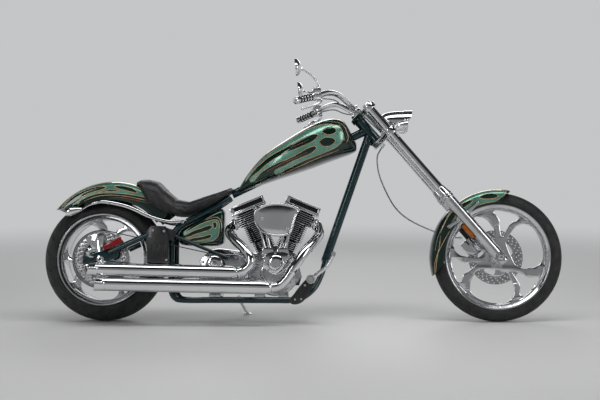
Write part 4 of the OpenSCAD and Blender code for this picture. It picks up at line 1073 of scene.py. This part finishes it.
paint_flames("tank", tank, "chassis", lambda line: up_panel(tank_sides, line), tank_flame,
    tank_curls, tank_embers, grid=9)

rear_flame = [[(60, 362), (66, 376), (80, 383), (96, 385), (112, 384), (124, 380), (138, 366),
    (125, 370), (112, 369), (102, 367), (96, 360), (97, 351), (104, 346), (112, 346), (120, 342),
    (131, 326), (119, 332), (107, 332), (94, 326), (80, 326), (68, 336), (60, 348)],
    [(68, 354), (73, 364), (82, 368), (88, 362), (87, 352), (78, 345), (70, 346)],
    [(84, 338), (90, 344), (98, 340), (104, 336), (96, 334), (88, 334)]]
rear_curls = [[(57, 340), (64, 326), (76, 316), (92, 314), (106, 318), (118, 320)]]
rear_embers = [[(56, 330), (66, 312), (80, 304), (94, 304)], [(104, 355), (112, 357), (121, 356)]]
paint_flames("rear_fender", rear_fender, "chassis", lambda line: round_wheel(*rear_middle, line),
    rear_flame, rear_curls, rear_embers, grid=7)

front_flame = [[(82.5, 340), (84, 351), (96, 355), (110, 355), (124, 353), (137, 349), (158, 332),
    (141, 339), (128, 340), (118, 336), (114, 328), (118, 319), (127, 316), (137, 312), (150, 298),
    (135, 302), (121, 298), (106, 292), (97, 292), (91.5, 298)], [(90, 322), (93, 334), (100, 339),
    (107, 334), (106, 320), (99, 310), (93, 311)]]
front_curls = [[(160, 326), (168, 318), (178, 322), (190, 336), (199, 350)],
    [(152, 292), (164, 300), (176, 320), (188, 342), (200, 354)]]
paint_flames("front_fender", front_fender, "fork", lambda line: round_wheel(*front_middle, line),
    front_flame, front_curls, [], grid=7)

oil_sides = [(394, 420, 470), (406, 400, 486), (440, 396, 506), (520, 394, 548), (590, 396, 588),
    (624, 400, 600)]
oil_flame = [[(604, -0.5), (612, -0.1), (606, 0.34), (574, 0.5), (520, 0.56), (470, 0.46),
    (424, 0.16), (476, 0.24), (520, 0.26), (558, 0.26), (574, 0.12), (560, -0.02), (520, -0.04),
    (474, -0.1), (426, -0.4), (480, -0.34), (526, -0.34), (560, -0.3), (572, -0.42), (552, -0.54),
    (510, -0.58), (450, -0.74), (520, -0.76), (576, -0.7)], [(576, 0.34), (592, 0.3), (598, 0.1),
    (588, -0.06), (580, 0.1)]]
oil_curls = [[(622, -0.3), (620, 0.2), (598, 0.56), (540, 0.7)]]
oil_embers = [[(540, -0.18), (500, -0.2), (450, -0.32), (414, -0.5)]]
paint_flames("oil_tank", oil_tank, "chassis", lambda line: up_panel(oil_sides, line), oil_flame,
    oil_curls, oil_embers, grid=7)


# ---------- Seat ----------
# A one-piece saddle of foam under satin black leather, stretched over a steel pan.
# The cover is pulled tight, with a welt round the foot and two sewn seams over the top.
seat_leather = surface_finish("seat_leather", (0.008, 0.008, 0.009), (0.02, 0.02, 0.022), grain=60,
    rough=(0.38, 0.55), bump=0.55, fine=6, specular=0.45)
foam = bmesh.new()
foam.from_mesh(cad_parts["seat"].data)
bmesh.ops.remove_doubles(foam, verts=foam.verts, dist=0.00005)
# The skirts over the fender's sides are drawn out a little, to keep their edge in the padding
skirt_back, skirt_front, skirt_side, hem_side = 190, 430, 130, 142
spread, hem_top, hem_stretch = 1.03, 655, 1.2
for vert in foam.verts:
    spot = parked.inverted() @ vert.co
    if skirt_back < spot.x < skirt_front and abs(spot.y) > skirt_side:
        spot.y *= spread
        if spot.z < hem_top and abs(spot.y) > hem_side:
            spot.z = hem_top - (hem_top - spot.z) * hem_stretch
    vert.co = parked @ spot
bmesh.ops.recalc_face_normals(foam, faces=foam.faces)
cushion_mesh = bpy.data.meshes.new("saddle")
foam.to_mesh(cushion_mesh)
foam.free()
saddle = bpy.data.objects.new("saddle", cushion_mesh)
bpy.context.scene.collection.objects.link(saddle)
voxels = saddle.modifiers.new("voxels", "REMESH")
voxels.mode, voxels.voxel_size = "VOXEL", 0.0042


def settled(piece):
    """Replaces the piece's mesh by its shape with every modifier applied."""
    shape = bpy.data.meshes.new_from_object(
        piece.evaluated_get(bpy.context.evaluated_depsgraph_get()))
    piece.modifiers.clear()
    piece.data = shape


settled(saddle)
smooth = saddle.modifiers.new("smooth", "SMOOTH")
smooth.factor, smooth.iterations = 0.5, 4
settled(saddle)
shrink = 0.0015
for vert in saddle.data.vertices:
    vert.co -= vert.normal * shrink
rest_shape = [vert.co.copy() for vert in saddle.data.vertices]
most_swell = 0.006
cover = saddle.modifiers.new("cover", "CLOTH")
cover.settings.use_pressure = True
cover.settings.uniform_pressure_force = 4
cover.settings.effector_weights.gravity = 0
cover.settings.quality = 5
for moment in range(1, 21):
    bpy.context.scene.frame_set(moment)
settled(saddle)
bpy.context.scene.frame_set(1)
for vert, before in zip(saddle.data.vertices, rest_shape):
    swell = vert.co - before
    if swell.length > most_swell:
        vert.co = before + swell * (most_swell / swell.length)
saddle.data.materials.clear()
saddle.data.materials.append(seat_leather)
for face in saddle.data.polygons:
    face.use_smooth = True
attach(saddle, "chassis")
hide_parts("seat")
rounded(saddle)

seat_stations = [(162, 0.5, 716, 736), (196, 0.93, 662, 746), (236, 0.97, 600, 748),
    (286, 1, 574, 735), (330, 1, 562, 688), (384, 1, 558, 642), (452, 0.96, 562, 628),
    (536, 0.86, 596, 658), (610, 0.62, 642, 682), (668, 0.38, 684, 706), (694, 0.22, 698, 708)]
seat_skin = BVHTree.FromObject(saddle, bpy.context.evaluated_depsgraph_get())


def on_seat(x, y, z):
    return seat_skin.find_nearest(parked @ Vector((x, y, z)))[0] * 1000


welts = []
for s in (-1, 1):
    for height in (0.16, 0.62):
        route = [on_seat(x, s * 155 * w, low + (high - low) * height)
            for x, w, low, high in seat_stations[1:-1]]
        welts.append(bent_tube(route, 1.8 if height < 0.5 else 1.0, sides=2, steps=8))
for x in (318, 520):
    row = min(seat_stations, key=lambda s: abs(s[0] - x))
    ring = [on_seat(x, 155 * row[1] * math.cos(a), row[2] + (row[3] - row[2] + 12) * math.sin(a))
        for a in [math.pi * i / 14 for i in range(1, 14)]]
    welts.append(bent_tube(ring, 1.0, sides=2, steps=6))
add_piece("saddle_welts", joined(*welts), seat_leather, "chassis", place=Matrix.Scale(0.001, 4))


# ---------- Rear turn signals ----------
# Chromed bullet lamps on the tips of the fender struts, with clear ribbed lenses.
clear_lens = surface_finish("clear_lens", (0.75, 0.76, 0.78), (0.9, 0.91, 0.93), grain=30,
    rough=(0.03, 0.1), bump=0.2, fine=3)
clear_lens.node_tree.nodes["Principled BSDF"].inputs["Transmission Weight"].default_value = 0.75
signal_place = shifted(-105.6, 155.8, 587.6) @ swung(-102, "Y")
bullet = moved(turned([(0, 0), (6.5, 0), (11, 10), (18, 32), (23, 50), (25, 60), (25, 84),
    (24, 86), (22.4, 86), (22, 80), (12, 66), (0, 64)], 40), signal_place)
add_piece("rear_signal_shells", both_sides(bullet), chrome, "chassis", ["rear_turn_signals"])
lens = moved(turned([(0, 88), (10, 87.6), (18, 86), (22.2, 83), (22.2, 81), (0, 83)], 40),
    signal_place)
rib_rings = [moved(turned([(r, 87.9 - r * 0.06), (r + 1, 88.3 - r * 0.06),
    (r + 2, 87.8 - r * 0.06), (r + 1, 86)], 32), signal_place) for r in (4, 8, 12)]
add_piece("rear_signal_lenses", both_sides(joined(lens, *rib_rings)), clear_lens, "chassis")


# ---------- Foot controls and side stand ----------
# Forward controls: a black plate bolted to each rail, with a ribbed peg and a pedal on
# a curved lever, both chromed. The side stand pivots on the left rail's lug.
grip_rubber = surface_finish("grip_rubber", (0.010, 0.010, 0.010), (0.024, 0.024, 0.025), grain=70,
    rough=(0.55, 0.75), bump=0.5, fine=6)
pedal_plate = flat_plate([[(985, 100), (1046, 100), (1098, 170), (1112, 220), (1094, 240),
    (1062, 214), (1010, 150)]], 12, 1.6, 140.3)
peg_boss = moved(turned([(0, 0), (20, 0), (20, 3), (17, 6), (17, 30), (19, 32), (19, 37.7),
    (0, 37.7)]), shifted(1094, 146.3, 222) @ quarter_turn)
peg_core = moved(turned([(0, 0), (11, 0), (11, 104), (12.6, 106), (13, 110), (0, 110)]),
    shifted(1094, 184, 222) @ quarter_turn)
lever = bent_tube([(1094, 174, 222), (1130, 194, 250), (1180, 210, 290), (1212, 216, 346)],
    [12, 11, 10, 8.5], sides=4, steps=8)
pedal_core = moved(turned([(0, 0), (9.5, 0), (9.5, 64), (11.6, 65), (12, 68), (0, 68)]),
    shifted(1212, 210, 352) @ quarter_turn)
pivot_cap = moved(turned([(0, 0), (22, 0), (22, 4), (18, 8), (10, 9), (8, 7), (0, 7)]),
    shifted(1094, 184, 222) @ quarter_turn)
plate_bolts = bolts(((1012, 116), (1044, 118), (1064, 190)), 146, 7, 5, to_left)
peg_ring = moved(turned([(15, 0), (22, 0), (23, 1.5), (23, 9), (21, 11), (17, 11), (15, 9)], 48),
    shifted(1094, 186, 222) @ quarter_turn)
foot_metal = joined(peg_boss, peg_core, lever, pedal_core, pivot_cap, peg_ring, *plate_bolts)
ribs = [moved(turned([(10.5, 0), (12.4, 0), (13, 1), (13, 6), (12.4, 7), (10.5, 7)], 32),
    shifted(1094, 198 + 11 * k, 222) @ quarter_turn) for k in range(8)]
ribs += [moved(turned([(9, 0), (11.5, 0), (12, 1), (12, 5.5), (11.5, 6.5), (9, 6.5)], 32),
    shifted(1212, 214 + 9.6 * k, 352) @ quarter_turn) for k in range(5)]
foot_rubber = joined(*ribs)
for side, flip in (("left", Matrix()), ("right", other_side)):
    add_piece(side + "_pedal_set", copied(foot_metal, flip), chrome, "chassis",
        [side + "_foot_control"])
    add_piece(side + "_pedal_plate", copied(pedal_plate, flip), black_coat, "chassis")
    add_piece(side + "_pedal_rubbers", copied(foot_rubber, flip), grip_rubber, "chassis")

floor_up = parked.to_3x3().inverted() @ Vector((0, 0, 1))
stand_leg = joined(moved(turned([(6.05, -8), (15, -8), (17, -6), (17, 6), (15, 8), (6.05, 8)], 40),
    aimed(stand_pivot, stand_pivot + stand_axis)), bent_tube([stand_pivot.lerp(stand_foot, t)
    for t in (0.09, 0.3, 0.6, 0.94)], [8.5, 7.6, 7, 6.5], sides=4),
    moved(turned([(0, 0), (22, 0), (23, 1.2), (23, 4.5), (20, 7), (11, 8.5), (9, 14), (0, 15)],
    40), aimed(stand_foot, stand_foot + floor_up)))
add_piece("stand_leg", stand_leg, chrome, "side_stand", ["side_stand"])


# ---------- Fork ----------
# Two chromed legs, raked well forward, held by forged clamps. Each has a polished lower
# slider with a tapered seal cap, a capped top and an amber reflector behind.
lower_clamp, upper_clamp, leg_side = 856, 1028, 112
tree_bolts = [moved(rod((-22, s * 134, up), (-22, s * 150, up), 6.5, 2), fork_frame)
    for s in (-1, 1) for up in (lower_clamp + 10, lower_clamp + 24, upper_clamp + 14)]
stem_nut = moved(joined(turned([(0, 0), (27, 0), (27, 3), (24, 5), (0, 5)], 40),
    turned([(0, 5), (20, 5), (21.5, 7), (21.5, 15), (19, 18), (8, 18), (7, 15), (0, 15)], 6)),
    fork_frame @ shifted(-75, 0, upper_clamp + 28.2))
cad_piece("fork_clamps", "steering_trees", 2.5, chrome, "fork", tree_bolts + [stem_nut])
slider = turned([(0, -42), (20, -42), (26, -39), (29.4, -34), (30, -28), (30, 398), (30.6, 402),
    (33, 406), (33, 413), (31.6, 415), (31.6, 421), (33, 423), (33, 430), (30, 434), (24.4, 474),
    (23.2, 478), (22.1, 480), (0, 480)], 56)
boss = moved(turned([(10.2, -30), (25, -30), (26, -29), (26, 28.5), (24.5, 30), (21, 30),
    (20, 28.6), (15, 28.6), (14, 30), (10.2, 30)]), quarter_turn)
fork_tube = turned([(0, 470), (22, 470), (22, 1056.3), (25, 1056.6), (25, 1065), (22.5, 1069),
    (14, 1070), (12, 1067.5), (0, 1067.5)], 56)
for side, s, flip in (("left", 1, Matrix()), ("right", -1, other_side)):
    leg_at = fork_frame @ shifted(0, s * leg_side, 0)
    lugs = []
    if s > 0:
        lugs = [moved(block(-44, 98.3, up, -4, 112, up + 14, 2), fork_frame) for up in (86, 148)]
        lugs += [bolt_head(fork_frame @ Vector((-34, 112, up + 7)), 7, 5, to_left)
            for up in (86, 148)]
    add_piece(side + "_slider", joined(copied(slider, leg_at), copied(boss, leg_at @ flip), *lugs),
        polished_alloy, "fork", [side + "_fork_leg"])
    add_piece(side + "_fork_tube", copied(fork_tube, leg_at), chrome, "fork")
for bm in (slider, boss, fork_tube):
    bm.free()

amber_lens = surface_finish("amber_lens", (0.24, 0.06, 0.003), (0.42, 0.12, 0.006), grain=90,
    rough=(0.12, 0.25), bump=0.4, fine=2, coat=0.4, specular=0.3)
capsule = strap(-34, 0, 11, 34, 0, 10.99)
lens_at = fork_frame @ shifted(-38, -120, 208) @ swung(90, "Y")
fork_reflector = moved(flat_plate([capsule], 9, 2.5, smooth=False), lens_at)
backing = moved(flat_plate([strap(-38, 0, 13, 38, 0, 12.99)], 4, 1, smooth=False),
    lens_at @ shifted(0, 6.5, 0))
reflector_arm = moved(block(-34, -115, 200, -20, -110, 216, 1), fork_frame)
add_piece("fork_reflectors", both_sides(fork_reflector), amber_lens, "fork")
add_piece("reflector_mounts", both_sides(joined(backing, reflector_arm)), black_coat, "fork")

stays, stay_root = [], on_fork(0, 0, 284)
stay_reach = 308
for forward, up in ((-0.365, 0.931), (-0.855, 0.518)):
    tip = wheelbase + stay_reach * forward, front_axle_height + stay_reach * up
    stays.append(flat_plate([strap(stay_root.x, stay_root.z, 14, *tip, 8.5)], 5, 1.4, 74.8,
        smooth=False))
    stays.append(bolt_head((tip[0], 77, tip[1]), 6.5, 5, to_left))
stays.append(rod((stay_root.x, 70, stay_root.z), (stay_root.x, 84, stay_root.z), 13, 2))
add_piece("fender_stays", both_sides(joined(*stays)), chrome, "fork")


# ---------- Handlebar, grips and levers ----------
# A fat chromed tube pulled back in one sweep and clamped in billet risers. Each end
# carries a ringed grip, a control housing with its lever, and a switch block.
bar_middle = on_fork(-58, 0, 1084)
elbow = bar_middle + Vector((-206, 327, 38))
bar_tip = bar_middle + Vector((-318, 415, 0))
grip_way = (bar_tip - elbow).normalized()
grip_start = elbow.lerp(bar_tip, 0.14)
half_route = [bar_middle + Vector(p) for p in ((0, 40, 0), (-24, 100, 16), (-90, 188, 60),
    (-146, 267, 62))]
half_route += [elbow, grip_start, elbow.lerp(bar_tip, 0.9)]
whole_route = [Vector((p.x, -p.y, p.z)) for p in reversed(half_route)] + half_route
bar_tube = bent_tube(whole_route, 15, sides=6, steps=8)
risers = []
for s in (-1, 1):
    risers.append(moved(block(-80, s * 53 - 15, 1056.3, -36, s * 53 + 15, 1083, 4), fork_frame))
    risers.append(moved(block(-80, s * 53 - 15, 1084.4, -36, s * 53 + 15, 1104, 6), fork_frame))
    risers += [moved(bolt_head((f, s * 53 + d, 1103.5), 4.5, 3.5, (0, 0, 1)), fork_frame)
        for f in (-72, -44) for d in (-8, 8)]
add_piece("handlebar_tube", joined(bar_tube, *risers), chrome, "fork", ["handlebar"])

grip_long = (bar_tip - grip_start).length
sleeve_profile = [(14.5, 0), (20.5, 0), (21, 2), (21, 5), (18, 8)]
for k in range(5):
    low = 14 + 18 * k
    sleeve_profile += [(17.2, low), (16.2, low + 1), (16.2, low + 9), (17.2, low + 10)]
sleeve_profile += [(17.6, grip_long - 20), (18.6, grip_long - 18), (18.6, grip_long - 8),
    (17, grip_long - 3), (12, grip_long - 0.6), (0, grip_long), (0, grip_long - 12),
    (14.5, grip_long - 12)]
sleeve = moved(turned(sleeve_profile, 48), aimed(grip_start, bar_tip))
bands = joined(*[moved(turned([(16, 14.6 + 18 * k), (18.2, 15 + 18 * k), (18.7, 17 + 18 * k),
    (18.7, 21 + 18 * k), (18.2, 23 + 18 * k), (16, 23.4 + 18 * k)], 40),
    aimed(grip_start, bar_tip)) for k in range(5)])
control = joined(moved(turned([(15.2, -2), (20, -2), (22, 0), (22, 12), (21, 13), (21, 15),
    (22, 16), (22, 34), (20, 36), (15.2, 36)], 40), aimed(elbow - grip_way * 16, bar_tip)),
    moved(block(-24, -19, -11, 22, 19, 9, 4), Matrix.Translation(elbow + Vector((2, -6, 30)))),
    moved(block(-20, -15, 9, 18, 15, 12, 1.2), Matrix.Translation(elbow + Vector((2, -6, 30)))),
    *[bolt_head(elbow + Vector((2 + x, -6 + y, 42)), 3, 2, (0, 0, 1)) for x in (-16, 14)
    for y in (-11, 11)], rod(elbow + Vector((6, -8, 12)), elbow + Vector((6, -8, 24)), 9),
    moved(block(-15, -12, -11, 15, 12, 11, 4), Matrix.Translation(elbow + Vector((16, -14, -16)))),
    rod(elbow + Vector((22, -10, -30)), elbow + Vector((22, -10, -4)), 6, 1.5))
lever_blade = bent_tube([elbow + Vector(p) for p in ((24, -10, -18), (20, 20, -34), (-16, 50, -56),
    (-66, 88, -76))], [7.5, 7, 5.6, 5], sides=4, steps=8)
lever_tip = moved(turned([(0, -8), (4, -7), (7, -4), (8, 0), (7, 4), (4, 7), (0, 8)], 24),
    Matrix.Translation(elbow + Vector((-70, 90.5, -77.2))))
bar_line = bent_tube([elbow + Vector((8, -24, -14)), elbow + Vector((30, -60, -6)), bar_middle
    + Vector((-112, 196, 34)), bar_middle + Vector((-52, 116, 2)), on_fork(-38, 66, 1040),
    on_fork(-30, 60, 985), on_fork(-24, 52, 930), on_fork(-22, 46, 891)], 3.4, sides=2, steps=10)
add_piece("control_housings", both_sides(joined(control, lever_blade, lever_tip, sleeve)), chrome,
    "fork", ["hand_controls"])
add_piece("grip_bands", both_sides(bands), grip_rubber, "fork")
buttons = [moved(block(-4, -5, 0, 4, 5, 4, 1), Matrix.Translation(elbow
    + Vector((-20 - 7 * k, 6 + 9 * k, 17 - 3 * k)))) for k in range(2)]
add_piece("switch_buttons", both_sides(joined(*buttons)), black_coat, "fork")


# ---------- Brake hose and bar lines ----------
# Braided stainless steel hose under clear plastic, with crimped hexagon ends. One runs
# in an open bow from the lower clamp to the front caliper.
hose_cover = surface_finish("hose_cover", (0.2, 0.2, 0.21), (0.5, 0.5, 0.52), grain=260,
    rough=(0.25, 0.4), metal=1.0, bump=0.5, fine=2)
hose_route = [(1490, 96, 953), (1470, 98, 926), (1452, 98, 880), (1462, 96, 792), (1502, 92, 690),
    (1552, 88, 606), (1620, 84, 546), (1720, 80, 496), (1810, 78, 464), (1876, 78, 448),
    (1904, 78, 446)]
hose = bent_tube(hose_route, 4, sides=4, steps=8)
fittings = []
for end, inward in ((0, 1), (-1, -2)):
    ferrule = turned([(4, 3), (6, 3), (6.6, 5), (6.6, 22), (5.6, 24), (4, 24)], 24)
    nut = turned([(0, -4), (6.5, -4), (7.5, -3), (7.5, 4), (6.5, 5), (0, 5)], 6)
    fittings.append(moved(joined(ferrule, nut), aimed(hose_route[end], hose_route[inward])))
add_piece("braided_hose", hose, hose_cover, "fork", ["brake_hose"])
add_piece("hose_fittings", joined(*fittings), chrome, "fork")
add_piece("handlebar_lines", both_sides(bar_line), hose_cover, "fork")


# ---------- Mirrors ----------
# Teardrop heads of chromed zinc on thin curved stems, with a bevelled glass facing back.
mirror_glass = surface_finish("mirror_glass", (0.82, 0.84, 0.86), (0.9, 0.91, 0.92), grain=3,
    rough=(0.012, 0.03), metal=1.0)
mirror_at = bar_middle + Vector((-300, 395, 174))
mirror_place = Matrix.Translation(mirror_at) @ swung(84, "Y")


def teardrop(bm):
    """The upper half narrows to a soft point, inside the round outline."""
    for v in bm.verts:
        if v.co.x < 0:
            v.co.y *= 1 - 0.55 * (v.co.x / 48) ** 2
        else:
            v.co.x *= 0.9
    return moved(bm, mirror_place)


shell = teardrop(turned([(0, 18), (10, 17.4), (24, 13), (36, 6.5), (44, -1), (47.4, -8), (48, -12),
    (47, -14), (44.6, -14), (44, -12), (42.6, -11.6), (0, -11.6)], 64))
stem = bent_tube([elbow + Vector((6, -20, 34)), elbow + Vector((10, -20, 62)),
    elbow + Vector((-28, 14, 106)), mirror_at + Vector((16, 0, -6))], [6.5, 5, 5, 5], sides=4,
    steps=10)
stem_nuts = [moved(turned([(5, 0), (8, 0), (9, 1.5), (9, 9), (8, 10.5), (5, 10.5)], 6),
    aimed(elbow + Vector((6, -20, 40)), elbow + Vector((7, -20, 56)))),
    moved(turned([(0, -9), (6, -7), (9, 0), (6, 7), (0, 9)], 24),
    Matrix.Translation(mirror_at + Vector((17, 0, -6))))]
glass = teardrop(turned([(0, -11.8), (40, -11.8), (42, -11.2), (0, -11.2)], 64))
add_piece("mirror_heads", both_sides(joined(shell, stem, *stem_nuts)), chrome, "fork", ["mirrors"])
add_piece("mirror_glasses", both_sides(glass), mirror_glass, "fork")


# ---------- Headlamp and front signals ----------
# A chromed bullet headlamp with a visor, on a ball post from the lower clamp, and a
# small bullet signal on each clamp. Glass lenses over polished bowls.
lamp_place = Matrix.Translation(on_fork(64, 0, 905)) @ swung(90, "Y")
bucket = turned([(0, -84), (10, -83), (22, -79), (33, -70), (42, -56), (48, -40), (52, -20),
    (55, 4), (56, 20), (56, 52), (57.6, 54), (58, 58), (58, 66), (57, 69), (54, 71), (52, 70),
    (51, 66), (46, 50), (34, 34), (18, 24), (8, 22), (0, 22)], 64)
visor = turned([(57.6, 50), (58.6, 50), (59.4, 98), (58.2, 98)], 72)
bmesh.ops.delete(visor, geom=[f for f in visor.faces if f.calc_center_median().x > -14
    - (f.calc_center_median().z - 98) * 0.2], context="FACES")
for v in visor.verts:
    v.co.z -= max(0, (v.co.x + 59) * 0.3) * (v.co.z > 80)
bulb = turned([(0, 22), (9, 24), (10, 34), (7, 44), (0, 47)], 24)
post = moved(turned([(0, -8), (12, -8), (12, 0), (9, 6), (9, 30), (11, 34), (16, 40), (17, 48),
    (12, 58), (0, 60)], 40), aimed(on_fork(-26, 0, 892), on_fork(14, 0, 934)))
add_piece("headlamp_shell", joined(moved(joined(bucket, visor, bulb), lamp_place), post), chrome,
    "fork", ["front_lamps"])
lamp_lens = turned([(0, 72), (20, 71.6), (38, 70), (50, 67.4), (52, 66), (52, 63.5), (40, 66),
    (0, 68)], 56)
flutes = [block(-40, y, 71.4 - 0.0015 * y * y, 40, y + 1.4, 72.4 - 0.0016 * y * y, 0.3)
    for y in range(-32, 33, 8)]
add_piece("headlamp_glass", moved(joined(lamp_lens, *flutes), lamp_place), clear_lens, "fork")

front_signal = (fork_frame @ shifted(36.3, leg_side, 873) @ swung(90, "Y") @ shifted(0, 0, 14)
    @ swung(37, "Y"))
signal_shell = moved(turned([(0, -2), (8, -2), (12, 0), (17, 12), (21, 28), (23.4, 42), (24, 50),
    (24, 54), (22.6, 55), (21.4, 54), (20, 44), (10, 32), (0, 30)], 40), front_signal)
signal_stub = moved(rod((0, 0, -1), (0, 0, 14), 8), fork_frame @ shifted(36.3, leg_side, 873)
    @ swung(90, "Y"))
signal_lens = moved(turned([(0, 56.5), (10, 56), (18, 54.6), (21.4, 52.6), (21.4, 50.6), (0, 53)],
    40), front_signal)
add_piece("front_signal_shells", both_sides(joined(signal_shell, signal_stub)), chrome, "fork")
add_piece("front_signal_lenses", both_sides(signal_lens), clear_lens, "fork")


# ---------- Front caliper ----------
# A chromed four-piston caliper bolted to lugs on the left slider, astride the disc.
caliper_trim = [moved(turned([(0, 0), (19, 0), (19, 2), (16, 4.5), (6, 4.5), (5, 3), (0, 3)], 40),
    fork_frame @ shifted(-76, 98, up) @ quarter_turn) for up in (100, 146)]
caliper_trim += [moved(bolt_head((-94, 98, up), 5.5, 4, to_left), fork_frame)
    for up in (84, 123, 164)]
cad_piece("front_brake_caliper", "front_caliper", 4, chrome, "fork", caliper_trim)
